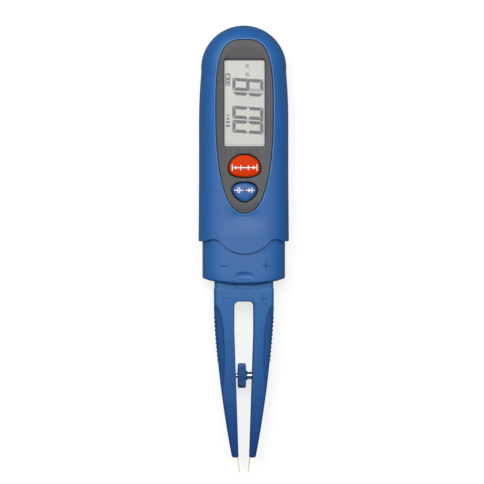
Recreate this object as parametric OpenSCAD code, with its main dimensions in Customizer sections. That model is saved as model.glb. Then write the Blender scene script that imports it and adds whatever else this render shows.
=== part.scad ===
// Tweezer component tester: a palm-sized case with a display and two keys,
// and a plug-in pair of sprung plastic tweezers that end in gold probes.
// It lies on its back: +Z out of the display, +Y toward the display end.

/* [Lengths in line] */
// Bare probe beyond each arm
probe_out = 6; // [4:0.5:9]
// Arm from the top of the slot to its end
slot_len = 62.4; // [58:0.2:68]
// Bridge of the tweezer head above the slot
bridge_len = 5.4; // [4.8:0.1:7]
// Neck that shows between the head and the sleeve
neck_show = 1.7; // [1:0.1:3]
// Sleeve that shows below the corners of the case skirt
sleeve_show = 17; // [14:0.5:22]
// Case from the corners of its skirt to its top
case_len = 86.3; // [85:0.1:96]

/* [Case] */
// Width across the flanks
case_w = 36.1; // [35:0.1:38]
// Radius of the rounded top
dome_r = 17; // [16.5:0.1:17.3]
// Height of the rear shell, which sets the parting plane
rear_h = 9; // [8.6:0.1:11]
// Height of the front shell
front_h = 11; // [10.6:0.1:13]
// Wall of both shells
wall = 1.4; // [1.1:0.1:1.8]
// Back wall of the rear shell
back_wall = 1.8; // [1.5:0.1:2.2]
// Squareness of the front section
front_power = 3.8; // [3:0.1:5]
// Squareness of the rear section
rear_power = 4; // [3:0.1:5]
// How far the skirt's front edge rises from its corners
wave_rise = 0.8; // [0.4:0.1:1.5]
// How far the tongue in the middle of the skirt hangs below its corners
tongue_drop = 4.94; // [3.5:0.1:6]
// Radius of the tongue
tongue_r = 12.5; // [11:0.5:14]
// Fillet between tongue and skirt
tongue_fillet = 3; // [2:0.2:4]

/* [Fascia and display] */
// Half width of the fascia
fascia_hw = 11.5; // [11.2:0.1:12.5]
// Fascia above its widest line
fascia_up = 29; // [28:0.2:30]
// Fascia below its widest line
fascia_down = 40.6; // [38:0.2:43]
// Case above the fascia
fascia_margin = 5.6; // [5:0.1:7]
// Thickness of the fascia
fascia_t = 1.75; // [1.5:0.05:2]
// Width of the window
window_w = 16.4; // [14:0.1:17]
// Length of the window
window_l = 34.9; // [30:0.1:35.5]
// Middle of the window above the fascia's widest line
window_rise = 3.45; // [2.5:0.05:4]
// Thickness of the display glass
lcd_t = 2.2; // [1.8:0.1:2.6]

/* [Keys] */
// Half width of the range key
range_hw = 6.78; // [6:0.02:7.2]
// Half width of the function key
func_hw = 5.4; // [4.8:0.1:6]
// Range key below the lower edge of the window
range_drop = 8.6; // [8:0.1:10]
// Spacing of the two keys
key_pitch = 8.56; // [8.2:0.02:10]
// Clearance round each key
key_gap = 0.35; // [0.2:0.05:0.5]
// Travel of a key
key_travel = 0.5; // [0.3:0.05:0.6]

/* [Board, cell and screws] */
// Thickness of the main board
board_t = 1; // [0.8:0.1:1.6]
// Width of the main board
board_w = 27; // [24:0.5:28]
// Radius of the coin cell
cell_r = 10; // [9:0.5:10]
// Thickness of the coin cell
cell_t = 3.2; // [2.5:0.1:3.4]
// Radius of the battery cover's flange
cover_r = 12; // [11.6:0.1:12.2]
// Radius of the screw bosses
boss_r = 2.6; // [2.4:0.1:2.8]
// Radius of the case screws' thread
screw_r = 1; // [0.8:0.05:1.1]

/* [Tweezer head] */
// Width of the head
head_w = 23.7; // [22.5:0.1:25]
// Thickness of the head
head_t = 11; // [10:0.1:12]
// Thickness of an arm at its end
tip_t = 4.6; // [4:0.1:6]
// Width of the slot between the arms
slot_w = 7.8; // [7.2:0.1:8.4]
// Distance between the arms at their ends
mouth_w = 4.28; // [4.2:0.02:5]
// Width of an arm at its end
tip_w = 2.56; // [2.4:0.02:3.2]
// Thickness of a grip pad on the side of an arm
pad_t = 1.2; // [0.8:0.1:1.5]
// Number of ribs on a grip pad
rib_count = 11; // [6:1:12]
// Distance between the ribs
rib_pitch = 1.7; // [1.4:0.1:1.9]
// How far the ribs stand proud
rib_h = 0.3; // [0.1:0.05:0.5]

/* [Probes and contacts] */
// Distance between the probe tips
tip_gap = 2.64; // [2.5:0.02:3.6]
// Thickness of a probe
probe_t = 0.4; // [0.3:0.05:0.5]
// Distance of a plug pin from the middle
pin_x = 7.9; // [7.6:0.1:8.2]
// Radius of a plug pin
pin_r = 1; // [0.7:0.05:1.1]
// Radius of a lead
lead_r = 0.35; // [0.25:0.05:0.4]

/* [Adjusting wheel] */
// Radius of the wheel
wheel_r = 4.95; // [4.5:0.05:5.2]
// Thickness of the wheel
wheel_t = 2.9; // [2.4:0.1:2.9]
// Wheel's axis below the top of the slot
wheel_drop = 29.6; // [28:0.2:32]
// Ridges round the wheel
ridge_count = 48; // [30:1:60]
// Radius of the screw
shank_r = 1.45; // [1.2:0.05:1.5]
// Radius of the guide pin
guide_r = 0.85; // [0.7:0.05:0.95]
// Travel of the wheel toward the threaded arm
wheel_travel = 1.75; // [1:0.05:1.8]

/* [Fits] */
// Clearance between the sleeve and the shells
sleeve_gap = 0.15; // [0.1:0.05:0.2]
// Clearance round a part that sits in a pocket
seat_gap = 0.1; // [0.05:0.01:0.15]
// Radial clearance of a running fit
run_gap = 0.05; // [0.03:0.01:0.08]

/* [Hidden] */
$fn = 48;
eps = 0.01;
far = 200;

// Stations along the length
total_len = probe_out + slot_len + bridge_len + neck_show + sleeve_show + case_len;
tip_y = -total_len / 2;
arm_end_y = tip_y + probe_out;
slot_y = arm_end_y + slot_len;
head_y = slot_y + bridge_len;
mouth_y = head_y + neck_show;
skirt_y = mouth_y + sleeve_show;
top_y = skirt_y + case_len;

// Case: heights, dome and flanks
front_spare = 0.05;          // how far the front section is cut below its own crown
rear_spare = 0.6;            // the same at the back, which leaves it flat to rest on
front_crown = front_h + front_spare;
rear_crown = rear_h + rear_spare;
top_z = rear_h + front_h;
dome_y = top_y - dome_r;
dome_join = 5.2;             // degrees past a half circle at which the dome meets the flank
crown_rings = 7;
low_y = skirt_y - tongue_drop - 1;
skirt_corner = 2.85;         // length of the rounded corner of the skirt's edge

// Fascia
fascia_y = top_y - fascia_margin - fascia_up;
fascia_sink = 3;
fascia_z = top_z - fascia_sink;
fascia_powers = [3.3, 2.35];
floor_t = 1.2;
floor_z = fascia_z - floor_t;
fascia_top = fascia_z + fascia_t;
window_y = fascia_y + window_rise;
window_r = 0.9;
lens_lip = 0.9;
lens_lip_t = 0.8;
lens_sink = 0.25;
lens_top = fascia_top - lens_sink;

// Board and display stack
board_z = rear_h;
board_top = board_z + board_t;
board_rise = 10;             // board's lower end above the skirt, and its upper end past the dome's middle
board_past = 5.4;
board_low = skirt_y + board_rise;
board_high = dome_y + board_past;
lcd_top = fascia_z - 0.1;
lcd_z = lcd_top - lcd_t;
lcd_side = 1.1;              // glass past the window at each side and at each end
lcd_end = 1.3;
lcd_w = window_w + 2 * lcd_side;
lcd_l = window_l + 2 * lcd_end;
holder_wall = 1.1;
holder_end = 0.6;
holder_w = lcd_w + 2 * seat_gap + 2 * holder_wall;
holder_l = lcd_l + 2 * seat_gap + 2 * holder_end;
ledge = 0.9;
zebra_w = 1.8;
post_r = 1.8;
post_in = 1.1;
post_drop = 14.25;
post_rise = 11.75;
post_x = board_w / 2 - post_in;
post_y = [window_y - post_drop, window_y + post_rise];

// Buzzer on the back wall
buzzer_rise = 3.75;
buzzer_r = 6;
buzzer_h = 2.4;
sound_hole = [0.8, 0.8];     // radius and depth

// Keys
range_y = window_y - window_l / 2 - range_drop;
func_y = range_y - key_pitch;
range_up = 5.84;             // reach of each key above and below its stem
range_down = 3.96;
func_up = 3.28;
func_down = 5.36;
range_powers = [1.85, 1.75];
func_powers = [1.6, 1.42];
key_sink = 0.2;
key_proud = 0.65;
key_z = fascia_z - key_sink;
key_top = fascia_top + key_proud;
key_power = 2.6;
key_side = 1.6;              // straight side of a key below its crown
tab_out = 0.9;
tab_hw = 1.6;
tab_t = 0.9;
stem_r = 1.6;
switch_w = 6;
switch_h = 3.5;
switch_top = board_top + switch_h;
plunger_r = 1.5;
plunger_out = 0.65;
plunger_in = 0.8;
plunger_top = switch_top + plunger_out;

// Coin cell and its cover
cell_rise = 22.9;
cell_clear = 0.2;
cover_step = 1;
cell_y = skirt_y + cell_rise;
cell_z = back_wall + cell_clear;
cover_neck_r = cover_r - cover_step;
cover_flange_t = 0.75;
cover_sink = 0.15;
cover_past = 0.15;
cover_top = back_wall + cover_past;
coin_slot = [13, 1.8, 0.6];   // length, width and depth
lug_t = 0.7;
lug_deg = 28;
lug_turn = 50;               // quarter-turn cover: degrees from locked to free
ring_gap = 0.2;
ring_t = 1.1;
ring_clear = 0.35;           // holder above the cover's lugs
leaf_t = 0.3;
leaf_w = 4;

// Parts on the board's underside beyond the cell: width, length and height
chip = [12, 12, 1.6];
crystal = [3.2, 8, 2.4];
small_part = [1.6, 3.2, 1.1];
small_pitch = 3;
crystal_x = -8;
small_x = -2;
cell_room = 4.7;
chip_room = 4;
small_y = cell_y + cell_r + ring_gap + ring_t + cell_room + crystal.y / 2;
chip_y = small_y + crystal.y / 2 + chip_room + chip.y / 2;

// Screws
boss_gap = 0.7;              // upper bosses clear of the display holder
upper_screw_x = 8.5;
lower_screw_x = 11.3;
lower_screw_rise = 5.5;
screw_at = [[upper_screw_x, window_y + holder_l / 2 + boss_gap + boss_r],
    [lower_screw_x, skirt_y + lower_screw_rise]];
counter_z = 2.6;
head_past = 0.9;
head_r = screw_r + head_past;
head_h = 1.2;
bite = 5;
shank_top = rear_h + bite;
cross = [2.2, 0.5, 0.6];      // length, width and depth of the drive recess
pilot_gap = 0.02;

// Sleeve
sleeve_hw = case_w / 2 - wall - sleeve_gap;
sleeve_front = front_h - wall - sleeve_gap;
sleeve_rear = rear_h - back_wall - sleeve_gap;
sleeve_back = 1.9;           // end of the sleeve short of the fascia and of the battery cover
sleeve_top_y = min(fascia_y - fascia_down, cell_y - cover_r) - sleeve_back;
nose_len = 3.1;
nose_power = 2.4;
nose_y = mouth_y + nose_len;
sleeve_z = rear_h + sleeve_front;
web_deep = 9.7;
web_t = 6.2;
web_low = mouth_y + web_deep;
web_high = web_low + web_t;
mark_w = 0.45;
sleeve_mark = 4.1;
sleeve_mark_at = [8.4, nose_y + 4.1];
head_mark = 3.1;
mark_deep = 0.7;

// Head and arms, drawn about their own middle plane
axis_rise = 1;
axis_z = rear_h + axis_rise;
plug_side = 0.2;
plug_face = 0.15;
plug_end = 0.2;
plug_w = head_w - 2 * plug_side;
plug_t = head_t - 2 * plug_face;
plug_gap = 0.25;
plug_y = web_low - plug_end;
plug_r = 1.2;
key_rib_w = 6.6;
key_rib_h = 0.45;
smile = 1.04;                // sagitta of the head's upper edge
smile_r = (head_w * head_w / 4 + smile * smile) / (2 * smile);
head_r2 = 1.5;
slot_r = 1.8;
pivot_drop = 7;
pivot_y = slot_y - pivot_drop;
pivot_x = pin_x;
knuckle_r = 4.7;
knuckle_gap = 0.1;
arm_r = 1.1;
straight_len = 12;           // slot with parallel sides
shoulder_len = 3;            // head at its full width below the top of the slot
straight_y = slot_y - straight_len;
taper_y = slot_y - shoulder_len;
arm_lean = 0.427;            // share of an arm's taper that is straight
arm_steps = 15;
grip_drop = 1.4;
grip_top = slot_y - grip_drop;
grip_len = 34.8;
grip_w = 3;
face_pad = 0.9;
rib_drop = 5.6;
rib_y = slot_y - rib_drop;
head_mark_at = [7.45, slot_y + 1.3];

// Contacts
socket_wall = 0.65;
socket_r = pin_r + run_gap + socket_wall;
socket_out = 4;
socket_end = web_high + socket_out;
pin_in = 6;
pin_short = 1.4;
pin_low = plug_y - pin_in;
pin_tab = [1.2, 2, 0.4];      // width, length and thickness of a pin's tab
lead_sink = 2.65;
lead_run = 36.9;
lead_gap = 0.2;
lead_out = 3.88;
foot_len = 0.43;
lead_z = axis_z - lead_sink;
lead_low = slot_y - lead_run;
lead_top = pin_low - pin_tab.y - lead_gap;
lead_x = tip_gap / 2 + lead_out;
probe_low_x = tip_gap / 2 + foot_len;
probe_root_w = 2.6;
probe_tip_w = 1.2;

// Wheel and screw
wheel_y = slot_y - wheel_drop;
wheel_right = 1;
wheel_left = wheel_right - wheel_t;
wheel_rim = 0.4;
shank_in = 1.45;
step_x = wheel_right - shank_in;
washer_t = 0.4;
washer_w = 0.5;
washer_r = shank_r + washer_w;
insert_wall = 0.4;
insert_r = shank_r + run_gap + insert_wall;
insert_x = [3.4, 7.4];
shank_end = 6.2;
guide_end = -7;
guide_gap = 0.45;

// ---------- curves ----------

// Half width, rise and fall of a superellipse that has its own power above and below
function egg(hw, up, down, up_power, down_power, steps = 48) =
    [for (k = [0:steps - 1]) let (a = 360 * k / steps, c = cos(a), s = sin(a),
        p = s >= 0 ? up_power : down_power, h = s >= 0 ? up : down)
        [sign(c) * hw * pow(abs(c), 2 / p), sign(s) * h * pow(abs(s), 2 / p)]];

// Outline of the case, drawn in by inset, from its lower right corner round the dome
function case_outline(inset, low) =
    let (r = dome_r - inset, join_x = r * cos(dome_join), join_y = dome_y - r * sin(dome_join),
        side = case_w / 2 - inset, run = 2 * (side - join_x) / tan(dome_join),
        right = [[side, low],
            for (k = [0:4]) let (s = 1 - k / 5)
                [join_x + (side - join_x) * (1 - pow(1 - s, 2)), join_y - run * s],
            for (k = [0:14]) let (a = -dome_join + (90 + dome_join) * k / 15)
                [r * cos(a), dome_y + r * sin(a)]])
    concat(right, [[0, dome_y + r]], [for (k = [len(right) - 1:-1:0]) [-right[k].x, right[k].y]]);

// Lower edge of the skirt from the middle to the right, and on past the corner
function wave_half() =
    let (flat_y = skirt_y + wave_rise, low = skirt_y - tongue_drop, mid = low + tongue_r,
        fillet_y = flat_y - tongue_fillet,
        fillet_x = sqrt(pow(tongue_r + tongue_fillet, 2) - pow(mid - fillet_y, 2)),
        meet = atan2(fillet_y - mid, fillet_x), corner = skirt_corner, last = 72)
    [for (k = [0:8]) let (a = -90 + (meet + 90) * k / 8) [tongue_r * cos(a), mid + tongue_r * sin(a)],
        for (k = [1:5]) let (a = 180 + meet + (-90 - meet) * k / 5)
            [fillet_x + tongue_fillet * cos(a), fillet_y + tongue_fillet * sin(a)],
        for (k = [0:4]) let (a = last * k / 4)
            [case_w / 2 - corner + corner * sin(a), skirt_y + wave_rise * cos(a)],
        [case_w / 2 + corner * (1 - sin(last)) / 2, skirt_y - wave_rise * cos(last) / 2], [case_w, low]];

// Faces of the arms, as distances from the middle
function arm_out(y) =
    let (s = max(0, (taper_y - y) / (taper_y - arm_end_y)), drop = head_w / 2 - mouth_w / 2 - tip_w)
    head_w / 2 - drop * (arm_lean * s + (1 - arm_lean) * s * s);
function arm_in(y) =
    y > straight_y ? slot_w / 2
    : slot_w / 2 - (slot_w - mouth_w) / 2 * (straight_y - y) / (straight_y - arm_end_y);
function arm_h(y) = head_t / 2 - (head_t - tip_t) / 2 * max(0, slot_y - y) / slot_len;

// Width of a grip pad at a share of its length
function grip_at(s) = grip_w * pow(sin(180 * pow(s, 0.65)), 0.65);

// Rounded rectangle across the length, from x0 to x1 and h to each side of the middle plane
function band(y, x0, x1, h, r, steps = 3) =
    [for (c = [[x1 - r, h - r, 90], [x1 - r, r - h, 0], [x0 + r, r - h, -90], [x0 + r, h - r, 180]])
        for (k = [0:steps]) let (a = c[2] - 90 * k / steps)
            [c[0] + r * cos(a), y, axis_z + c[1] + r * sin(a)]];

// ---------- shared shapes ----------

// Closed skin over rings of points that run the same way round. The ends of a ring that mirrors
// itself are split straight across, which leaves no slivers along its flanks.
module skin(rings, across = false)
{
    n = len(rings[0]);
    last = len(rings) - 1;
    half = floor((n - 1) / 2);
    end = across
        ? concat([for (i = [0:half - 2]) [i, i + 1, n - 2 - i, n - 1 - i]], [[half - 1, half, half + 1]])
        : [[for (i = [0:n - 1]) i]];
    polyhedron([for (ring = rings) for (p = ring) p],
        concat(end,
            [for (k = [0:last - 1]) for (i = [0:n - 1]) let (j = (i + 1) % n)
                [k * n + i, (k + 1) * n + i, (k + 1) * n + j, k * n + j]],
            [for (f = end) [for (i = [len(f) - 1:-1:0]) last * n + f[i]]]));
}

// Solid on z = 0 that draws in from its outline as it rises, with a straight foot under it
module crowned(outline, crown, height, power, from_y = 0, to_y = 0, foot = 0, across = false)
{
    end_angle = asin(pow(height / crown, power / 2));
    skin(concat(foot > 0 ? [[for (p = outline) [p.x, p.y, -foot]]] : [],
        [for (k = [0:crown_rings]) let (a = end_angle * k / crown_rings,
            rho = pow(cos(a), 2 / power), z = crown * pow(sin(a), 2 / power))
            [for (p = outline) [p.x * rho,
                p.y < from_y ? from_y + (p.y - from_y) * rho : p.y > to_y ? to_y + (p.y - to_y) * rho : p.y,
                z]]]), across);
}

// Both halves of the case's form, and the hollow in each, which runs out past its open sides
module case_front(inset, past = 0)
{
    translate([0, 0, rear_h])
        crowned(case_outline(inset, low_y - past), front_crown - inset, front_h - inset, front_power,
            -far, dome_y, past, true);
}

module case_rear(inset, back_inset, past = 0)
{
    translate([0, 0, rear_h]) mirror([0, 0, 1])
        crowned(case_outline(inset, low_y - past), rear_crown - back_inset, rear_h - back_inset,
            rear_power, -far, dome_y, past, true);
}

// Everything below the waved edge of the skirt
module below_skirt()
{
    half = wave_half();
    linear_extrude(3 * top_z, center = true)
        polygon(concat([[-case_w, -far], [case_w, -far]],
            [for (k = [len(half) - 1:-1:0]) half[k]],
            [for (k = [1:len(half) - 1]) [-half[k].x, half[k].y]]));
}

// Rounded rectangle in plan, centred, from z0 to z1
module slab(w, l, z0, z1, r = 0)
{
    translate([0, 0, z0]) linear_extrude(z1 - z0)
        if (r > 0)
            polygon([for (c = [[1, -1, -90], [1, 1, 0], [-1, 1, 90], [-1, -1, 180]])
                for (k = [0:4]) let (a = c[2] + 90 * k / 4)
                    [c[0] * (w / 2 - r) + r * cos(a), c[1] * (l / 2 - r) + r * sin(a)]]);
        else square([w, l], center = true);
}

module rod(r, z0, z1) { translate([0, 0, z0]) cylinder(r = r, h = z1 - z0); }

// Rods along the length and across it
module rod_y(r, y0, y1) { translate([0, y0, 0]) rotate([-90, 0, 0]) cylinder(r = r, h = y1 - y0); }
module rod_x(r, x0, x1) { translate([x0, 0, 0]) rotate([0, 90, 0]) cylinder(r = r, h = x1 - x0); }

module both_sides() { children(); mirror([1, 0, 0]) children(); }

// Each of the four case screws
module at_screws() { both_sides() for (p = screw_at) translate(p) children(); }

module at_posts() { both_sides() for (y = post_y) translate([post_x, y, 0]) children(); }

// Minus on the left and plus on the right
module marks(at, size, z0, z1)
{
    for (side = [-1, 1]) translate([side * at.x, at.y, 0]) slab(size, mark_w, z0, z1);
    translate(at) slab(mark_w, size, z0, z1);
}

// ---------- case ----------

module fascia_outline(gap)
{
    polygon(egg(fascia_hw + gap, fascia_up + gap, fascia_down + gap,
        fascia_powers[0], fascia_powers[1], 72));
}

function range_egg(gap) =
    egg(range_hw + gap, range_up + gap, range_down + gap, range_powers[0], range_powers[1]);
function func_egg(gap) =
    egg(func_hw + gap, func_up + gap, func_down + gap, func_powers[0], func_powers[1]);

// Openings in the floor under the fascia for a key and its two side tabs
module key_hole(outline, hw)
{
    translate([0, 0, floor_z - 1]) linear_extrude(floor_t + 2) polygon(outline);
    slab(2 * (hw + tab_out + 0.3), 2 * (tab_hw + 0.3), floor_z - 1, fascia_z + 1);
}

module front_shell()
{
    color("steelblue") difference()
    {
        case_front(0);
        difference()
        {
            case_front(wall, 1);
            translate([-far / 2, sleeve_top_y + 0.3, floor_z]) cube([far, far, far]);
            at_screws() rod(boss_r, rear_h - 2, top_z);
            at_posts() rod(post_r, board_top, top_z);
        }
        below_skirt();
        translate([0, fascia_y, fascia_z]) linear_extrude(far) fascia_outline(seat_gap);
        translate([0, window_y, 0]) slab(lcd_w + 4 * seat_gap, lcd_l + 5 * seat_gap, floor_z - 1, fascia_z + 1);
        translate([0, range_y, 0]) key_hole(range_egg(key_gap), range_hw);
        translate([0, func_y, 0]) key_hole(func_egg(key_gap), func_hw);
        at_screws() rod(screw_r + pilot_gap, rear_h - 1, shank_top + 0.5);
    }
}

module rear_shell()
{
    color("steelblue") difference()
    {
        case_rear(0, 0);
        difference()
        {
            case_rear(wall, back_wall, 1);
            at_screws() rod(boss_r, -1, rear_h + 2);
            at_posts() rod(post_r, -1, rear_h + 2);
        }
        below_skirt();
        at_screws() rod(head_r + 0.2, -1, counter_z);
        at_screws() rod(screw_r + 0.15, -1, far);
        translate([0, cell_y, 0])
        {
            rod(cover_r + 0.15, -1, cover_sink + cover_flange_t + run_gap);
            rod(cover_neck_r + 0.15, -1, back_wall + 1);
            rotate([0, 0, lug_turn]) lug_sectors(cover_r + 0.1, lug_deg + 6, cover_sink, back_wall + 1);
        }
    }
}

// Sleeve that the tweezer head plugs into; the lower bosses pass through it and hold it
module socket_sleeve()
{
    outline = concat([[sleeve_hw, sleeve_top_y], [-sleeve_hw, sleeve_top_y]],
        [for (k = [0:18]) let (a = 180 * k / 18, c = cos(a))
            [-sign(c) * sleeve_hw * pow(abs(c), 2 / nose_power),
                nose_y - nose_len * pow(sin(a), 2 / nose_power)]]);
    color("royalblue") difference()
    {
        translate([0, 0, rear_h])
        {
            crowned(outline, sleeve_front + front_spare, sleeve_front, front_power, nose_y, far);
            mirror([0, 0, 1])
                crowned(outline, sleeve_rear + rear_spare, sleeve_rear, rear_power, nose_y, far);
        }
        translate([0, 0, axis_z])
        {
            rotate([90, 0, 0])
                slab(plug_w + 2 * plug_gap, plug_t + 2 * plug_gap, -web_low, far, 1.4);
            translate([0, 0, plug_t / 2]) rotate([90, 0, 0])
                slab(key_rib_w + 0.4, 2 * (key_rib_h + plug_gap), -web_low, far);
            for (side = [-1, 1]) translate([side * pin_x, 0, 0])
                rod_y(socket_r + pilot_gap, web_low - 1, web_high + 1);
        }
        translate([0, 0, rear_h + (sleeve_front - sleeve_rear) / 2]) rotate([90, 0, 0])
            slab(2 * (sleeve_hw - wall), sleeve_front + sleeve_rear - 2 * wall, -far, -web_high, 4);
        both_sides() translate(screw_at[1]) rod(boss_r + sleeve_gap, 0, far);
        marks(sleeve_mark_at, sleeve_mark, sleeve_z - mark_deep, far);
        scoop();
    }
}

// Thumb scoop in the sleeve's front edge, square above and round below
module scoop()
{
    scoop_r = 9;
    scoop_deep = 0.7;
    scoop_out = 0.8;
    scoop_edge = 1.16;
    intersection()
    {
        translate([0, nose_y - scoop_out, sleeve_z + scoop_r - scoop_deep]) sphere(scoop_r);
        translate([-far / 2, nose_y + scoop_edge - far, 0]) cube([far, far, far]);
    }
}

module fascia_panel()
{
    color("dimgray") difference()
    {
        translate([0, fascia_y, fascia_z]) linear_extrude(fascia_t) fascia_outline(0);
        translate([0, window_y, 0])
        {
            slab(window_w, window_l, fascia_z - 1, far, window_r);
            slab(window_w + 2 * lens_lip, window_l + 2 * lens_lip, fascia_z - 1, fascia_z + lens_lip_t);
        }
        translate([0, range_y, 0]) linear_extrude(far) polygon(range_egg(key_gap));
        translate([0, func_y, 0]) linear_extrude(far) polygon(func_egg(key_gap));
    }
}

module display_window()
{
    color("aliceblue", 0.4) translate([0, window_y, 0])
    {
        slab(window_w - 2 * seat_gap, window_l - 2 * seat_gap, fascia_z, lens_top, window_r);
        slab(window_w + 2 * lens_lip - 2 * seat_gap, window_l + 2 * lens_lip - 2 * seat_gap,
            fascia_z, fascia_z + lens_lip_t - run_gap);
    }
}

module lcd_glass()
{
    color("lightgray") translate([0, window_y, 0]) slab(lcd_w, lcd_l, lcd_z, lcd_top);
}

// Frame that stands on the board and carries the glass on a ledge
module lcd_holder()
{
    color("whitesmoke") translate([0, window_y, 0]) difference()
    {
        slab(holder_w, holder_l, board_top, floor_z - seat_gap);
        slab(lcd_w + 2 * seat_gap, lcd_l + 2 * seat_gap, lcd_z, far);
        slab(lcd_w + 2 * seat_gap - 2 * ledge, lcd_l + 2 * seat_gap - 2 * ledge, board_top - 1, far);
    }
}

// Conducting rubber strips between the board and the glass
module zebra_strips()
{
    color("dimgray") both_sides()
        translate([lcd_w / 2 + seat_gap - ledge - zebra_w / 2, window_y, 0])
            slab(zebra_w, lcd_l - 2 * ledge, board_top, lcd_z);
}

module main_board()
{
    color("seagreen") difference()
    {
        translate([0, (board_low + board_high) / 2, 0])
            slab(board_w, board_high - board_low, board_z, board_top, 3);
        both_sides() translate([board_w / 2, board_high, 0]) slab(4, 4, 0, far);
    }
}

// Controller, crystal and passive parts on the board's underside
module board_chips()
{
    color("black") translate([0, chip_y, 0])
        slab(chip.x, chip.y, board_z - chip.z, board_z);
    translate([0, small_y, 0])
    {
        color("silver") translate([crystal_x, 0, 0])
            slab(crystal.x, crystal.y, board_z - crystal.z, board_z, 1.2);
        color("tan") for (k = [0:3]) translate([small_x + small_pitch * k, 0, 0])
            slab(small_part.x, small_part.y, board_z - small_part.z, board_z);
    }
}

// ---------- keys ----------

module key_cap(outline, hw)
{
    translate([0, 0, key_z]) linear_extrude(key_side) polygon(outline);
    translate([0, 0, key_z + key_side])
        crowned(outline, key_top - key_z - key_side + eps, key_top - key_z - key_side, key_power);
    slab(2 * (hw + tab_out), 2 * tab_hw, key_z - tab_t, key_z);
    rod(stem_r, plunger_top, key_z);
}

module range_button() { color("orangered") translate([0, range_y, 0]) key_cap(range_egg(0), range_hw); }
module func_button() { color("royalblue") translate([0, func_y, 0]) key_cap(func_egg(0), func_hw); }

module plunger() { rod(plunger_r, switch_top - plunger_in, plunger_top); }
module range_plunger() { color("dimgray") translate([0, range_y, 0]) plunger(); }
module func_plunger() { color("dimgray") translate([0, func_y, 0]) plunger(); }

module switch_housings()
{
    color("silver") for (y = [range_y, func_y]) translate([0, y, 0]) difference()
    {
        slab(switch_w, switch_w, board_top, switch_top);
        rod(plunger_r + seat_gap, switch_top - plunger_in - key_travel - 2 * seat_gap, far);
    }
}

// ---------- power and sound ----------

module coin_cell() { color("gainsboro") translate([0, cell_y, 0]) rod(cell_r, cell_z, cell_z + cell_t); }

module cell_holder()
{
    color("black") translate([0, cell_y, 0]) difference()
    {
        rod(cell_r + ring_gap + ring_t, cover_top + lug_t + ring_clear, board_z);
        rod(cell_r + ring_gap, 0, far);
        translate([cell_r, 0, 0]) slab(4, 5, 0, far);
    }
}

// Leaf that presses on the top of the cell
module cell_contact_top()
{
    root = 7;
    bend = 5;
    touch = 1.5;
    end = 4.5;
    low = cell_z + cell_t + 0.02;
    high = cell_z + cell_t + leaf_t;
    color("gold") translate([0, cell_y + leaf_w / 2, 0]) rotate([90, 0, 0]) linear_extrude(leaf_w)
        polygon([[-root, board_z], [-root, board_z - leaf_t], [-bend, board_z - leaf_t], [touch, low],
            [end, low], [end, high], [touch + 0.2, high], [0.2 - bend, board_z]]);
}

module cell_contact_side()
{
    color("gold") translate([cell_r + run_gap + leaf_t / 2, cell_y, 0])
        slab(leaf_t, leaf_w, cell_z + cell_t / 4, board_z);
}

// Two lugs that lock the cover behind the back wall
module lug_sectors(r, deg, z0, z1)
{
    for (turn = [90, 270]) rotate([0, 0, turn - deg / 2]) translate([0, 0, z0])
        rotate_extrude(angle = deg) translate([cover_neck_r - 0.5, 0])
            square([r - cover_neck_r + 0.5, z1 - z0]);
}

module battery_cover()
{
    color("steelblue") translate([0, cell_y, 0]) difference()
    {
        union()
        {
            rod(cover_r, cover_sink, cover_sink + cover_flange_t);
            rod(cover_neck_r, cover_sink, cover_top);
            lug_sectors(cover_r, lug_deg, cover_top - eps, cover_top + lug_t);
        }
        slab(coin_slot.x, coin_slot.y, -1, cover_sink + coin_slot.z);
    }
}

module case_screws()
{
    color("silver") at_screws() difference()
    {
        union()
        {
            rod(head_r, counter_z - head_h, counter_z);
            rod(screw_r, counter_z - eps, shank_top);
        }
        for (turn = [0, 90]) rotate([0, 0, turn]) slab(cross.x, cross.y, 0, counter_z - head_h + cross.z);
    }
}

module buzzer()
{
    color("black") translate([0, window_y + buzzer_rise, 0]) difference()
    {
        rod(buzzer_r, back_wall, back_wall + buzzer_h);
        rod(sound_hole[0], back_wall + buzzer_h - sound_hole[1], far);
    }
}

// ---------- sockets, pins and leads ----------

module socket()
{
    translate([pin_x, 0, axis_z]) difference()
    {
        rod_y(socket_r, web_low, socket_end);
        rod_y(pin_r + run_gap, web_low - 1, socket_end - 1);
    }
    translate([pin_x, (socket_end + board_low + 3) / 2, 0])
        slab(pin_tab.x, board_low + 3 - socket_end + eps, board_top, board_top + pin_tab.z);
}

module right_socket() { color("gold") socket(); }
module left_socket() { color("gold") mirror([1, 0, 0]) socket(); }

// Pin that stands in the head's plug, with a tab down to its lead
module pin(gap = 0)
{
    translate([pin_x, 0, axis_z]) rod_y(pin_r + gap, pin_low - gap, socket_end - pin_short);
    translate([pin_x, pin_low - pin_tab.y / 2, 0])
        slab(pin_tab.x + 2 * gap, pin_tab.y + 2 * gap, lead_z - pin_tab.z - gap, axis_z + pin_r + gap);
}

module right_pin() { color("gold") pin(); }
module left_pin() { color("gold") mirror([1, 0, 0]) pin(); }

// Runs from the pin's tab down the arm to the probe; its bore in the head runs on past it
module lead(r, past = 0)
{
    run = lead_top - lead_low;
    lean = atan((pin_x - lead_x) / run);
    translate([lead_x, lead_low, lead_z]) rotate([-90, 0, -lean]) cylinder(r = r, h = run / cos(lean) + past);
}

module right_lead() { color("firebrick") lead(lead_r); }
module left_lead() { color("black") mirror([1, 0, 0]) lead(lead_r); }

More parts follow.
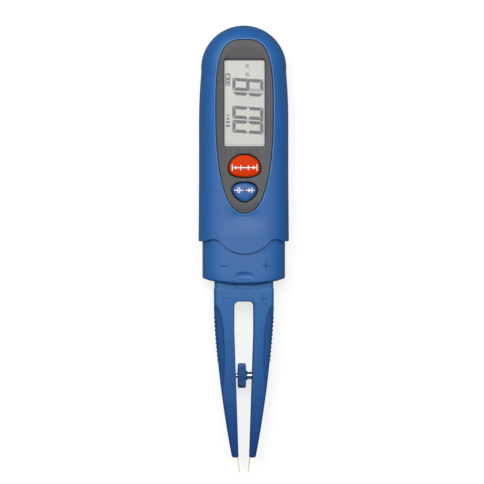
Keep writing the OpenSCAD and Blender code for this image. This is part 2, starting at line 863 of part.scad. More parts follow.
// Flat strip from the lead to the tip, with a foot bent inward
module probe(gap)
{
    root_y = lead_low - 0.1;
    run = root_y - tip_y;
    lean = atan((lead_x - probe_low_x) / run);
    long = run / cos(lean);
    translate([probe_low_x, tip_y, axis_z]) rotate([0, 0, -lean])
    {
        rotate([0, -90, 0]) linear_extrude(probe_t + 2 * gap, center = true)
            polygon([[-probe_tip_w / 2 - gap, 0.2 * probe_t], [probe_tip_w / 2 + gap, 0.2 * probe_t],
                [probe_root_w / 2 + gap, probe_out + 4], [probe_root_w / 2 + gap, long],
                [lead_z - axis_z - lead_r - gap, long], [lead_z - axis_z - lead_r - gap, long - 2],
                [-probe_root_w / 2 - gap, long - 2], [-probe_root_w / 2 - gap, probe_out + 4]]);
    }
}

module probe_foot()
{
    translate([tip_gap / 2, tip_y, axis_z - probe_tip_w / 2])
        cube([probe_low_x - tip_gap / 2 + probe_t / 2, 1.5 * probe_t, probe_tip_w]);
}

module right_probe() { color("gold") { probe(0); probe_foot(); } }
module left_probe() { color("gold") mirror([1, 0, 0]) { probe(0); probe_foot(); } }

// ---------- tweezers ----------

// One limb of the tweezers as a loft, from y0 to y1; inner and outer faces may be drawn in
module limb(y0, y1, in_cut = 0, out_cut = 0, face_cut = 0)
{
    skin([for (k = [0:arm_steps]) let (y = y0 + (y1 - y0) * k / arm_steps)
        band(y, arm_in(y) + in_cut, arm_out(y) - out_cut, arm_h(y) - face_cut, arm_r)]);
}

// Plan of the grip: from its line on the arm's face out past the arm
module grip_zone()
{
    linear_extrude(3 * top_z, center = true)
        polygon(concat([for (k = [0:24]) let (y = grip_top - grip_len * k / 24)
            [arm_out(y) - max(0, grip_at(k / 24)), y]],
            [[head_w, grip_top - grip_len], [head_w, grip_top]]));
}

// Space between the grip's line, the arm's skin and the core under the pad
module grip_bed()
{
    difference()
    {
        grip_zone();
        limb(grip_top - grip_len - 1, grip_top + 1, -2, pad_t, face_pad);
    }
}

module ribs()
{
    high = arm_h(rib_y - rib_count * rib_pitch) - arm_r - 1;
    steps = 6 * rib_count;
    translate([0, 0, axis_z - high]) linear_extrude(2 * high)
        polygon([for (k = [0:steps]) let (y = rib_y - rib_pitch * k / 6)
            [arm_out(y) + rib_h * max(0, sin(60 * k - 90)), y],
            for (k = [steps:-6:0]) let (y = rib_y - rib_pitch * k / 6) [arm_out(y) - pad_t / 2, y]]);
}

module grip()
{
    intersection()
    {
        limb(arm_end_y, pivot_y + knuckle_r + 2);
        grip_bed();
        knuckle_keep();
    }
    ribs();
}

// What an arm may fill: a round head about its pivot, and all that lies below it
module knuckle_keep()
{
    translate([pivot_x, pivot_y, 0]) cylinder(r = knuckle_r - knuckle_gap, h = 2 * top_z);
    translate([0, -far + pivot_y, 0]) cube([far, far, 2 * top_z]);
}

module arm()
{
    difference()
    {
        intersection()
        {
            limb(arm_end_y, pivot_y + knuckle_r + 2);
            knuckle_keep();
        }
        grip_bed();
        lead(lead_r + 0.07);
        probe(run_gap);
    }
}

module right_arm()
{
    color("royalblue") difference()
    {
        arm();
        translate([0, wheel_y, axis_z])
        {
            rod_x(insert_r + pilot_gap, 0, insert_x[1]);
            rod_x(shank_r + run_gap, 0, shank_end + wheel_travel + 0.3);
        }
    }
}

module left_arm()
{
    color("royalblue") difference()
    {
        mirror([1, 0, 0]) arm();
        translate([0, wheel_y, axis_z]) rod_x(guide_r + guide_gap, guide_end - 1.2, 0);
    }
}

module right_grip() { color("mediumblue") grip(); }
module left_grip() { color("mediumblue") mirror([1, 0, 0]) grip(); }

// Bridge with the two knuckle seats, the neck and the plug
module tweezer_base()
{
    horn_y = pivot_y + sqrt(pow(knuckle_r, 2) - pow(slot_w / 2 + 0.05, 2));
    color("royalblue") difference()
    {
        union()
        {
            difference()
            {
                skin([for (y = [horn_y, slot_y, head_y + smile]) band(y, -arm_out(y), arm_out(y), arm_h(y),
                    head_r2)]);
                translate([0, head_y - smile / 2 + smile_r, 0])
                    cylinder(r = smile_r, h = 2 * top_z, $fn = 180);
            }
            translate([0, 0, axis_z]) rotate([90, 0, 0])
                slab(plug_w, plug_t, -plug_y, -(head_y - smile - 1), plug_r);
            translate([0, 0, axis_z + plug_t / 2]) rotate([90, 0, 0])
                slab(key_rib_w, 2 * key_rib_h, -(plug_y - 1.6), -(head_y - smile - 1));
        }
        translate([0, slot_y, 0]) linear_extrude(2 * top_z)
        {
            translate([-slot_w / 2 + slot_r, -far]) square([slot_w - 2 * slot_r, far]);
            translate([-slot_w / 2, -far]) square([slot_w, far - slot_r]);
            for (side = [-1, 1]) translate([side * (slot_w / 2 - slot_r), -slot_r]) circle(slot_r);
        }
        both_sides()
        {
            translate([pivot_x, pivot_y, 0]) cylinder(r = knuckle_r, h = 2 * top_z, $fn = 96);
            pin(pilot_gap);
            lead(lead_r + guide_gap, 0.15);
        }
        marks(head_mark_at, head_mark, axis_z + head_t / 2 - 0.25, far);
    }
}

// ---------- adjusting wheel ----------

module adjusting_wheel()
{
    ridge_h = 0.14;
    rim_drop = 0.5;
    color("royalblue") translate([wheel_left, wheel_y, axis_z]) rotate([0, 90, 0]) difference()
    {
        union()
        {
            translate([0, 0, wheel_rim]) linear_extrude(wheel_t - 2 * wheel_rim)
                polygon([for (k = [0:2 * ridge_count - 1]) let (a = 180 * k / ridge_count,
                    r = wheel_r - (k % 2) * ridge_h) [r * cos(a), r * sin(a)]]);
            cylinder(r1 = wheel_r - rim_drop, r2 = wheel_r - ridge_h, h = wheel_rim + eps);
            translate([0, 0, wheel_t - wheel_rim - eps])
                cylinder(r1 = wheel_r - ridge_h, r2 = wheel_r - rim_drop, h = wheel_rim + eps);
        }
        translate([0, 0, -1]) cylinder(r = guide_r + pilot_gap, h = wheel_t + 2);
        translate([0, 0, step_x - wheel_left]) cylinder(r = shank_r + pilot_gap, h = wheel_t);
    }
}

// Metal screw with a thinner guide pin at its other end
module adjusting_screw()
{
    color("silver") translate([0, wheel_y, axis_z])
    {
        rod_x(shank_r, step_x, shank_end);
        rod_x(guide_r, guide_end, step_x + eps);
    }
}

module thrust_washer()
{
    color("royalblue") translate([0, wheel_y, axis_z]) difference()
    {
        rod_x(washer_r, wheel_right, wheel_right + washer_t);
        rod_x(shank_r + run_gap, 0, wheel_right + 1);
    }
}

module threaded_insert()
{
    color("goldenrod") translate([0, wheel_y, axis_z]) difference()
    {
        rod_x(insert_r, insert_x[0], insert_x[1]);
        rod_x(shank_r + run_gap, 0, insert_x[1] + 1);
    }
}

front_shell();
rear_shell();
socket_sleeve();
fascia_panel();
display_window();
lcd_glass();
lcd_holder();
zebra_strips();
main_board();
board_chips();
range_button();
func_button();
range_plunger();
func_plunger();
switch_housings();
coin_cell();
cell_holder();
cell_contact_top();
cell_contact_side();
battery_cover();
case_screws();
buzzer();
left_socket();
right_socket();
tweezer_base();
left_arm();
right_arm();
left_grip();
right_grip();
left_probe();
right_probe();
left_pin();
right_pin();
left_lead();
right_lead();
adjusting_screw();
adjusting_wheel();
threaded_insert();
thrust_washer();
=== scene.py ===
import bpy
import bmesh
import math
import numpy as np
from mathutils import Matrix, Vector


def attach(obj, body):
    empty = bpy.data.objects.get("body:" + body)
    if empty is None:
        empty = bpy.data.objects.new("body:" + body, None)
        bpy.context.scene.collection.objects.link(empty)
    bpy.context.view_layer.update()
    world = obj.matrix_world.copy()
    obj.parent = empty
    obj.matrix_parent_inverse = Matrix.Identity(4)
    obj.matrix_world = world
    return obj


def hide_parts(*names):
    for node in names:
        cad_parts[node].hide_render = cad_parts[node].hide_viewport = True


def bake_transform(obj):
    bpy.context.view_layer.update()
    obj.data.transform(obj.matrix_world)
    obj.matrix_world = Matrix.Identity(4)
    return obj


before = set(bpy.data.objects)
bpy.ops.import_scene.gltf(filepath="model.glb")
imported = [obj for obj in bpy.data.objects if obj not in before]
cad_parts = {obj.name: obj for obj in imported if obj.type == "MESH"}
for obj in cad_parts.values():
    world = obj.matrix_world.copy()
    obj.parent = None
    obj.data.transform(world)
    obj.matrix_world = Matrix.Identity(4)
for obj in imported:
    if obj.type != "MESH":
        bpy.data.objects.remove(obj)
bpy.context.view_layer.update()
mm = 0.001
print("frame loaded with", len(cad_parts), "nodes")


# every length below is in millimetres

def letGo():
    if bpy.context.object and bpy.context.object.mode == "EDIT":
        bpy.ops.object.mode_set(mode="OBJECT")
    bpy.ops.object.select_all(action="DESELECT")


def pick(piece):
    letGo()
    piece.select_set(True)
    bpy.context.view_layer.objects.active = piece


def layOut(form, order, ring):
    for index, point in zip(order, ring):
        form.verts[index].co = Vector(point) * mm


def loft(name, rings, ends=True):  # a skin drawn from ring to ring by extrusion
    letGo()
    count = len(rings[0])
    bpy.ops.mesh.primitive_circle_add(vertices=count, radius=0.01)
    piece = bpy.context.object
    piece.name = name
    bpy.ops.object.mode_set(mode="EDIT")
    form = bmesh.from_edit_mesh(piece.data)
    form.verts.ensure_lookup_table()
    first = order = list(range(count))
    layOut(form, order, rings[0])
    for ring in rings[1:]:
        old = len(form.verts)
        bpy.ops.mesh.extrude_region_move()
        form = bmesh.from_edit_mesh(piece.data)
        form.verts.index_update()
        form.verts.ensure_lookup_table()
        order = [next(edge.other_vert(form.verts[i]).index for edge in form.verts[i].link_edges
                      if edge.other_vert(form.verts[i]).index >= old) for i in order]
        layOut(form, order, ring)
    for rim in (first, order) if ends else ():
        bpy.ops.mesh.select_all(action="DESELECT")
        form = bmesh.from_edit_mesh(piece.data)
        form.verts.ensure_lookup_table()
        for index in rim:
            form.verts[index].select = True
        form.select_flush(True)
        bpy.ops.mesh.edge_face_add()
    tidyMesh()
    return piece


def tidyMesh():  # merges doubles, turns faces outwards and leaves edit mode
    bpy.ops.mesh.select_all(action="SELECT")
    bpy.ops.mesh.remove_doubles(threshold=0.000002)
    bpy.ops.mesh.normals_make_consistent(inside=False)
    bpy.ops.object.mode_set(mode="OBJECT")


def prism(name, outline, low, high):
    return loft(name, [[(x, y, z) for x, y in outline] for z in (low, high)])


def carve(piece, tool, operation="DIFFERENCE"):
    pick(piece)
    change = piece.modifiers.new("carve", "BOOLEAN")
    change.operation = operation
    change.object = tool
    change.solver = "EXACT"
    bpy.ops.object.modifier_apply(modifier="carve")
    bpy.data.objects.remove(tool)


def soften(piece, width, segments=2, angle=40):
    pick(piece)
    edge = piece.modifiers.new("soften", "BEVEL")
    edge.width = width * mm
    edge.segments = segments
    edge.limit_method = "ANGLE"
    edge.angle_limit = math.radians(angle)
    edge.use_clamp_overlap = True
    bpy.ops.object.modifier_apply(modifier="soften")


def joinUp(name, parts):
    letGo()
    for part in parts:
        part.select_set(True)
    bpy.context.view_layer.objects.active = parts[0]
    if len(parts) > 1:
        bpy.ops.object.join()
    parts[0].name = name
    return parts[0]


def twin(piece, name, place):  # a copy with a mesh of its own, each point moved by a function
    other = piece.copy()
    other.data = piece.data.copy()
    other.name = name
    bpy.context.scene.collection.objects.link(other)
    for vert in other.data.vertices:
        vert.co = Vector(place(*(vert.co / mm))) * mm
    pick(other)
    bpy.ops.object.mode_set(mode="EDIT")
    tidyMesh()
    return other


def rod(name, start, end, radius, count=48):  # a round bar between two points
    a, b = Vector(start), Vector(end)
    side = (b - a).orthogonal().normalized()
    up = (b - a).normalized().cross(side)
    ring = [side * math.cos(t) + up * math.sin(t) for t in np.linspace(0, 2 * math.pi, count, endpoint=False)]
    return loft(name, [[p + spoke * radius for spoke in ring] for p in (a, b)])


def egg(halfWidth, up, down, upPower, downPower, centre=(0, 0), count=360):
    points = []
    for t in np.linspace(0, 2 * math.pi, count, endpoint=False):
        c, s = math.cos(t), math.sin(t)
        power, reach = (upPower, up) if s >= 0 else (downPower, down)
        points.append((centre[0] + math.copysign(halfWidth * abs(c) ** (2 / power), c),
                       centre[1] + math.copysign(reach * abs(s) ** (2 / power), s)))
    return points


def roundRect(width, length, radius, centre=(0, 0), steps=6):
    points = []
    for sx, sy, start in ((1, -1, -90), (1, 1, 0), (-1, 1, 90), (-1, -1, 180)):
        for step in range(steps + 1):
            turn = math.radians(start + 90 * step / steps)
            points.append((centre[0] + sx * (width / 2 - radius) + radius * math.cos(turn),
                           centre[1] + sy * (length / 2 - radius) + radius * math.sin(turn)))
    return points


def even(outline, count):  # the same closed outline with its points spread evenly
    path = np.array(list(outline) + [outline[0]], float)
    run = np.concatenate([[0], np.cumsum(np.hypot(*np.diff(path, axis=0).T))])
    at = np.linspace(0, run[-1], count, endpoint=False)
    return list(zip(np.interp(at, run, path[:, 0]), np.interp(at, run, path[:, 1])))


def angles(outline, centre):
    return [math.atan2(y - centre[1], x - centre[0]) for x, y in outline]


def facing(outline, centre, turns):  # the points of an outline that lie at the given angles
    dense = np.array(even(outline, 1440))
    polar = np.arctan2(dense[:, 1] - centre[1], dense[:, 0] - centre[0])
    reach = np.hypot(dense[:, 1] - centre[1], dense[:, 0] - centre[0])
    order = np.argsort(polar)
    found = np.interp(turns, polar[order], reach[order], period=2 * math.pi)
    return [(centre[0] + r * math.cos(t), centre[1] + r * math.sin(t)) for r, t in zip(found, turns)]


def between(first, second, share):
    return [tuple(a + (b - a) * share for a, b in zip(p, q)) for p, q in zip(first, second)]


def raised(outline, height):  # an outline with a height, or with a height worked out at each point
    return [(x, y, height(x, y) if callable(height) else height) for x, y in outline]


class Flow:  # a socket that can be used in sums
    def __init__(self, finish, socket):
        self.finish = finish
        self.socket = socket

    def sum(self, operation, first, second):
        return self.finish.node("ShaderNodeMath", dict(operation=operation), (first, second))

    def __add__(self, other):
        return self.sum("ADD", self, other)

    def __radd__(self, other):
        return self.sum("ADD", other, self)

    def __rsub__(self, other):
        return self.sum("SUBTRACT", other, self)

    def __mul__(self, other):
        return self.sum("MULTIPLY", self, other)

    def __rmul__(self, other):
        return self.sum("MULTIPLY", other, self)


class Finish:
    def __init__(self, name):
        self.material = bpy.data.materials.new(name)
        self.material.use_nodes = True
        self.tree = self.material.node_tree
        self.tree.nodes.clear()
        self.place = self.node("ShaderNodeTexCoord", {}, {}, "Object")

    def node(self, kind, settings, inputs, output=0):
        made = self.tree.nodes.new(kind)
        for key, value in settings.items():
            if key == "stops":
                for stop, (at, shade) in zip(made.color_ramp.elements, value):
                    stop.position = at
                    stop.color = (*shade, 1)
            else:
                setattr(made, key, value)
        for key, value in inputs.items() if isinstance(inputs, dict) else enumerate(inputs):
            if isinstance(value, Flow):
                self.tree.links.new(value.socket, made.inputs[key])
            elif value is not None:
                made.inputs[key].default_value = value
        return Flow(self, made.outputs[output])

    def noise(self, size, detail=2.0, stretch=(1, 1, 1)):  # size of the pattern in millimetres
        return self.node("ShaderNodeTexNoise", {}, dict(Vector=self.spread(stretch), Scale=1 / (size * mm),
                                                        Detail=detail))

    def spread(self, stretch):
        if stretch == (1, 1, 1):
            return self.place
        return self.node("ShaderNodeMapping", {}, dict(Vector=self.place, Scale=stretch))

    def along(self, axis):  # one coordinate, in millimetres
        return self.node("ShaderNodeSeparateXYZ", {}, (self.place,), axis) * (1 / mm)

    def mix(self, factor, first, second):  # sockets 6, 7 and 2 are the colours of a mix node
        return self.node("ShaderNodeMix", dict(data_type="RGBA"), {0: factor, 6: first, 7: second}, 2)

    def bump(self, height, depth):  # depth in millimetres
        return self.node("ShaderNodeBump", {}, dict(Strength=1.0, Distance=depth * mm, Height=height))

    def surface(self, **inputs):
        named = {key.replace("_", " "): value for key, value in inputs.items()}
        shader = self.node("ShaderNodeBsdfPrincipled", {}, named)
        self.finishWith(shader)
        return self.material

    def finishWith(self, shader):
        out = self.tree.nodes.new("ShaderNodeOutputMaterial")
        self.tree.links.new(shader.socket, out.inputs["Surface"])


def shade(colour, factor):
    return (*[c * factor for c in colour], 1)


# spark textured plastic
def moulded(name, colour, gloss=0.4, grain=0.22, depth=0.006, paintedTipShade=None, sheen=0.42):
    finish = Finish(name)
    drift = finish.noise(14, 3)
    spark = finish.noise(grain, 3)
    streak = finish.noise(5, 2, (1, 0.15, 1))
    tone = finish.mix(drift * 0.7 + streak * 0.3, shade(colour, 0.88), shade(colour, 1.12))
    rough = gloss + spark * 0.12 + drift * 0.06
    if paintedTipShade:  # painted shade: the colour darkens toward the thin ends of the arms, which also grow duller
        share = finish.node("ShaderNodeMapRange", {}, (finish.along("Y"), -80.0, -28.0, 0.0, 1.0))
        tone = finish.mix(share, (*paintedTipShade, 1), tone)
        rough = rough + (1 - share) * 0.3
    return finish.surface(Base_Color=tone, Roughness=rough, Specular_IOR_Level=sheen,
                          Normal=finish.bump(spark, depth))


def metal(name, colour, roughness=0.2, brush=(1, 1, 1), wear=0.25, share=1.0):
    finish = Finish(name)
    fine = finish.noise(0.12, 2, brush)
    cloud = finish.noise(1.6, 3)
    tone = finish.mix(cloud, shade(colour, 1 - wear), shade(colour, 1.0))
    return finish.surface(Base_Color=tone, Metallic=share, Roughness=roughness + cloud * 0.15 + fine * 0.05,
                          Normal=finish.bump(fine, 0.002))


def rubber(name, colour, sheen=0.4):
    finish = Finish(name)
    skin = finish.noise(0.09, 2)
    dust = finish.noise(2.2, 4)
    tone = finish.mix(dust, shade(colour, 0.9), shade(colour, 1.08))
    return finish.surface(Base_Color=tone, Roughness=0.42 + skin * 0.16, Specular_IOR_Level=sheen,
                          Normal=finish.bump(skin, 0.004))


def boardFinish(name):  # solder mask over copper runs
    finish = Finish(name)
    runs = finish.node("ShaderNodeTexBrick", dict(offset=0.4), {
        "Vector": finish.place, "Color1": (0.010, 0.095, 0.035, 1), "Color2": (0.014, 0.120, 0.045, 1),
        "Mortar": (0.022, 0.190, 0.070, 1), "Scale": 420.0, "Mortar Size": 0.06})
    return finish.surface(Base_Color=runs, Roughness=0.28 + finish.noise(3) * 0.1, Coat_Weight=0.3)


def striped(name, dark, pale, pitch):  # conducting rubber in thin layers
    finish = Finish(name)
    layers = finish.node("ShaderNodeTexWave", dict(wave_type="BANDS", bands_direction="Y"),
                         {"Vector": finish.place, "Scale": 0.314 / (pitch * mm)}, 1)
    return finish.surface(Base_Color=finish.mix(layers, dark, pale), Roughness=0.6 + finish.noise(0.4) * 0.1)


def display(name, colour):  # reflective liquid crystal, its tone varying a little at random
    finish = Finish(name)
    cloud = finish.noise(9, 2)
    grain = finish.noise(0.3, 1)
    tone = finish.mix(cloud * 0.8 + grain * 0.2, shade(colour, 0.94), shade(colour, 1.05))
    return finish.surface(Base_Color=tone, Roughness=0.30 + grain * 0.06)


def printed(name, colour):
    finish = Finish(name)
    return finish.surface(Base_Color=finish.mix(finish.noise(0.5), shade(colour, 0.93), shade(colour, 1.0)),
                          Roughness=0.45 + finish.noise(0.2) * 0.1)


def clearLens(name):
    finish = Finish(name)
    smear = finish.noise(6, 3, (1, 0.4, 1))
    return finish.surface(Base_Color=(0.30, 0.32, 0.32, 1), Roughness=0.10 + smear * 0.05, Alpha=0.06,
                          Specular_IOR_Level=0.3)


finishes = dict(
    caseBlue=moulded("caseBlue", (0.011, 0.100, 0.325), 0.40),
    # painted highlight: a paler blue than the case, for the light caught along the rim round the fascia
    lipHighlightBlue=moulded("lipHighlightBlue", (0.050, 0.190, 0.470), 0.36),
    sleeveBlue=moulded("sleeveBlue", (0.013, 0.106, 0.335), 0.42),
    # painted shade: the head's blue fades to a darker tone toward the ends of the arms
    headBlue=moulded("headBlue", (0.011, 0.108, 0.320), 0.42, paintedTipShade=(0.001, 0.042, 0.195), sheen=0.34),
    gripBlue=moulded("gripBlue", (0.0075, 0.064, 0.220), 0.50, 0.16, 0.010, sheen=0.22),
    wheelBlue=moulded("wheelBlue", (0.010, 0.072, 0.250), 0.38),
    fasciaGrey=moulded("fasciaGrey", (0.064, 0.063, 0.070), 0.46, 0.18, 0.010),
    keyRed=rubber("keyRed", (0.620, 0.035, 0.001), 0.05),
    keyBlue=rubber("keyBlue", (0.016, 0.096, 0.320)),
    switchBlack=moulded("switchBlack", (0.020, 0.020, 0.022), 0.5),
    holderBlack=moulded("holderBlack", (0.024, 0.024, 0.026), 0.5),
    holderWhite=moulded("holderWhite", (0.70, 0.70, 0.68), 0.45),
    buzzerBlack=moulded("buzzerBlack", (0.018, 0.018, 0.019), 0.35),
    gold=metal("gold", (0.980, 0.880, 0.560), 0.26, share=0.45),
    steel=metal("steel", (0.62, 0.62, 0.60), 0.16, (1, 12, 1)),
    cellSteel=metal("cellSteel", (0.66, 0.66, 0.64), 0.22, (8, 1, 1)),
    brass=metal("brass", (0.62, 0.44, 0.16), 0.28),
    leadRed=rubber("leadRed", (0.45, 0.02, 0.015)),
    leadBlack=rubber("leadBlack", (0.02, 0.02, 0.02)),
    board=boardFinish("board"),
    chipBlack=moulded("chipBlack", (0.020, 0.020, 0.021), 0.45, 0.3),
    zebra=striped("zebra", (0.02, 0.02, 0.02, 1), (0.32, 0.32, 0.30, 1), 0.25),
    lcd=display("lcd", (0.590, 0.597, 0.553)),
    lcdInk=printed("lcdInk", (0.140, 0.142, 0.158)),
    lcdGhost=printed("lcdGhost", (0.430, 0.433, 0.425)),
    keyPrint=printed("keyPrint", (0.80, 0.80, 0.80)),
    lens=clearLens("lens"))


# gives a piece smooth shading, its finish and body, and hides the frame's nodes that it stands for
def dress(piece, finish, body=None, nodes=(), angle=35):
    pick(piece)
    bpy.ops.object.shade_smooth_by_angle(angle=math.radians(angle))
    piece.data.materials.clear()
    piece.data.materials.append(finishes[finish])
    if body:
        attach(piece, body)
    if nodes:
        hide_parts(*nodes)
    print(piece.name, "finished,", len(piece.data.polygons), "faces")
    return piece


# camera above the middle of the part, leaning a little to its left
camera = dict(distance=3.0, frameWidth=193.6, sensor=36.0, midX=-0.72, midY=2.8, midZ=10.0, lean=2.0)
aim = Vector([camera[way] * mm for way in ("midX", "midY", "midZ")])
lean = math.radians(camera["lean"])
bpy.ops.object.camera_add(location=aim + camera["distance"] * Vector((-math.sin(lean), 0, math.cos(lean))))
eye = bpy.context.object
eye.rotation_euler = (0, -lean, 0)
eye.data.sensor_width = camera["sensor"]
eye.data.lens = camera["sensor"] * camera["distance"] / (camera["frameWidth"] * mm)
eye.data.clip_end = 20.0
bpy.context.scene.camera = eye


# case: plan and crown of both shells
case = dict(halfWidth=17.84, flare=0.2, flareTop=30.0, flareLow=3.1, domeRadius=17.0, domeY=72.4,
            joinTurn=5.2, low=-8.0, seam=9.0, seamStep=0.12, rise=10.85, power=3.2, backDepth=9.6,
            backPower=4.0, backWall=1.8, wall=1.4, points=240)
skirt = dict(corner=3.1, rise=0.8, tongueDrop=4.94, tongueRadius=12.5, fillet=3.0, cornerRound=0.75,
             half=18.08, slopeStart=12.9, slopeEnd=16.6, slopeMid=0.4, slopeSwing=0.45, cornerDrop=0.05)
hollow = dict(depth=0.9, half=7.0, reach=2.7, y=12.6)  # below the tip of the fascia
room = dict(half=16.65, above=9.6, below=7.15, low=-20.0, top=12.4)  # for the sleeve, inside the case
coverSeat = dict(centre=(0, 26), mouth=12.35, bore=12.15, ledge=11.15, chamfer=0.2, ledgeHigh=0.95)
screws = dict(places=((8.5, 81.0), (11.3, 8.6)), boss=2.6, bossLow=1.2, bossTop=8.9, head=2.1, headTop=2.6,
              hole=1.15)
fascia = dict(half=11.5, up=28.8, down=40.6, upPower=3.2, downPower=2.35, centre=(0, 54.8), seat=17.0,
              floor=15.8, edge=18.55, top=18.95, dish=0.8, windowWidth=16.4, windowLength=34.9,
              windowY=58.25, windowCorner=0.9, windowLow=17.7, brimTop=19.1, hatchWidth=19.0,
              hatchLength=38.0, hatchCorner=0.5)
keys = dict(gap=0.58, seat=16.8, side=18.45, low=14.15, stem=1.6,
            range=dict(half=6.2, up=5.3, down=3.45, upPower=2.03, downPower=2.4, centre=(0, 32.2)),
            func=dict(half=4.85, up=2.95, down=4.55, upPower=2.2, downPower=1.6, centre=(0, 23.45)))


def caseHalf(y):  # half width of the case at a station along its length
    radius, turn = case["domeRadius"], math.radians(case["joinTurn"])
    joinX, joinY = radius * math.cos(turn), case["domeY"] - radius * math.sin(turn)
    if y > joinY:
        return math.sqrt(max(0.0, radius ** 2 - (y - case["domeY"]) ** 2))
    run = 2 * (case["halfWidth"] - joinX) / math.tan(turn)
    share = min(1.0, (joinY - y) / run)
    flare = case["flare"] * min(1.0, max(0.0, (case["flareTop"] - y) / (case["flareTop"] - case["flareLow"])))
    return joinX + (case["halfWidth"] - joinX) * (1 - (1 - share) ** 2) + flare


def caseOutline(inset=0.0):
    turn, radius = math.radians(case["joinTurn"]), case["domeRadius"]
    joinY = case["domeY"] - radius * math.sin(turn)
    right = [(caseHalf(y) - inset, y) for y in np.linspace(case["low"] + inset, joinY, 60, endpoint=False)]
    right += [((radius - inset) * math.cos(t), case["domeY"] + (radius - inset) * math.sin(t))
              for t in np.linspace(-turn, math.pi / 2, 40)]
    return right + [(-x, y) for x, y in reversed(right[:-1])]


def drawnIn(outline, share):  # an outline drawn in toward the middle line and the middle of the dome
    domeY = case["domeY"]
    return [(x * share, y if y < domeY else domeY + (y - domeY) * share) for x, y in outline]


def crownAt(x, y):  # height of the front over a point of the plan
    if y > case["domeY"]:
        reach = math.hypot(x, y - case["domeY"]) / case["domeRadius"]
    else:
        reach = abs(x) / caseHalf(y)
    return case["seam"] + case["rise"] * max(0.0, 1 - reach ** case["power"]) ** (1 / case["power"])


def dipped(rise):  # the crown with the hollow below the fascia's tip
    def height(x, y):
        away = (x / hollow["half"]) ** 2 + ((y - hollow["y"]) / hollow["reach"]) ** 2
        return crownAt(x, y) + rise - hollow["depth"] * math.exp(-away)

    return height


def fasciaEgg(grow=0.0, count=720):
    return egg(fascia["half"] + grow, fascia["up"] + grow, fascia["down"] + grow, fascia["upPower"],
               fascia["downPower"], fascia["centre"], count)


def keyEgg(key, grow=0.0, count=180):
    return egg(key["half"] + grow, key["up"] + grow, key["down"] + grow, key["upPower"], key["downPower"],
               key["centre"], count)


def keyHoles(piece, low):  # openings for both keys, from a height upwards
    for key in (keys["range"], keys["func"]):
        carve(piece, prism("keyHole", keyEgg(key, keys["gap"]), low, 21))


def waveCutter():  # all that lies below the waved edge of the skirt
    flat, low = skirt["corner"] + skirt["rise"], skirt["corner"] - skirt["tongueDrop"]
    radius, fillet = skirt["tongueRadius"], skirt["fillet"]
    mid = low + radius
    filletX = math.sqrt((radius + fillet) ** 2 - (mid - flat + fillet) ** 2)
    meet = math.atan2(flat - fillet - mid, filletX)
    right = [(radius * math.cos(t), mid + radius * math.sin(t)) for t in np.linspace(-math.pi / 2, meet, 24)]
    right += [(filletX + fillet * math.cos(t), flat - fillet + fillet * math.sin(t))
              for t in np.linspace(math.pi + meet, math.pi / 2, 12)[1:]]
    start, end, slopeY = skirt["slopeStart"], skirt["slopeEnd"], skirt["corner"] + skirt["slopeMid"]
    right += [(x, slopeY + skirt["slopeSwing"] * math.cos(math.pi * (x - start) / (end - start)))
              for x in np.linspace(start, end, 10)]
    cornerRound, cornerY = skirt["cornerRound"], skirt["corner"] - skirt["cornerDrop"] + skirt["cornerRound"]
    right += [(skirt["half"] - cornerRound + cornerRound * math.cos(t), cornerY + cornerRound * math.sin(t))
              for t in np.linspace(-math.pi / 2, 0, 8)]
    right += [(60, right[-1][1]), (60, -60)]
    return prism("waveCutter", right + [(-x, y) for x, y in reversed(right[1:])], -3, 24)


def section(half, above, below, power, count):  # cross-section of the sleeve or of its room
    return even(egg(half, above, below, power, power, (0, case["seam"]), 720), count)


def across(name, outline, low, high):  # a section drawn along the length
    return loft(name, [[(x, y, z) for x, z in outline] for y in (low, high)])


def sleeveRoom():
    outline = section(room["half"], room["above"], room["below"], case["power"], 160)
    return across("sleeveRoom", outline, room["low"], room["top"])


def frontShell():
    centre = (0, 49)
    outer = even(caseOutline(), case["points"])
    inner = even(caseOutline(case["wall"]), case["points"])
    rings = [raised(drawnIn(outer, 0.993), case["seam"])]
    share, power = 0.8, case["power"]
    last = math.acos(share ** (power / 2))
    for step in range(15):
        turn = last * (step / 14) ** 1.6
        height = case["seam"] + max(case["seamStep"], case["rise"] * math.sin(turn) ** (2 / power))
        rings.append(raised(drawnIn(outer, math.cos(turn) ** (2 / power)), height))
    wide = drawnIn(outer, share)
    turns = angles(wide, centre)
    edge = facing(fasciaEgg(1.6), centre, turns)
    for step in range(1, 9):
        rings.append(raised(between(wide, edge, step / 8), dipped(0)))
    for grow, rise in ((1.1, 0.0), (0.6, 0.0), (0.2, -0.02), (0.1, -0.25)):
        rings.append(raised(facing(fasciaEgg(grow), centre, turns), dipped(rise)))
    rings.append(raised(facing(fasciaEgg(0.1), centre, turns), fascia["seat"]))
    hatch = facing(roundRect(fascia["hatchWidth"], fascia["hatchLength"], fascia["hatchCorner"],
                             (0, fascia["windowY"])), centre, turns)
    rings += [raised(hatch, fascia["seat"]), raised(hatch, fascia["floor"])]
    for share, height in ((0.88, fascia["floor"]), (0.96, 14), (0.995, 11.5), (1.0, case["seam"])):
        rings.append(raised(drawnIn(inner, share), height))
    shell = loft("caseFront", rings + [rings[0]], ends=False)
    carve(shell, sleeveRoom())
    carve(shell, waveCutter())
    keyHoles(shell, 14)
    return shell


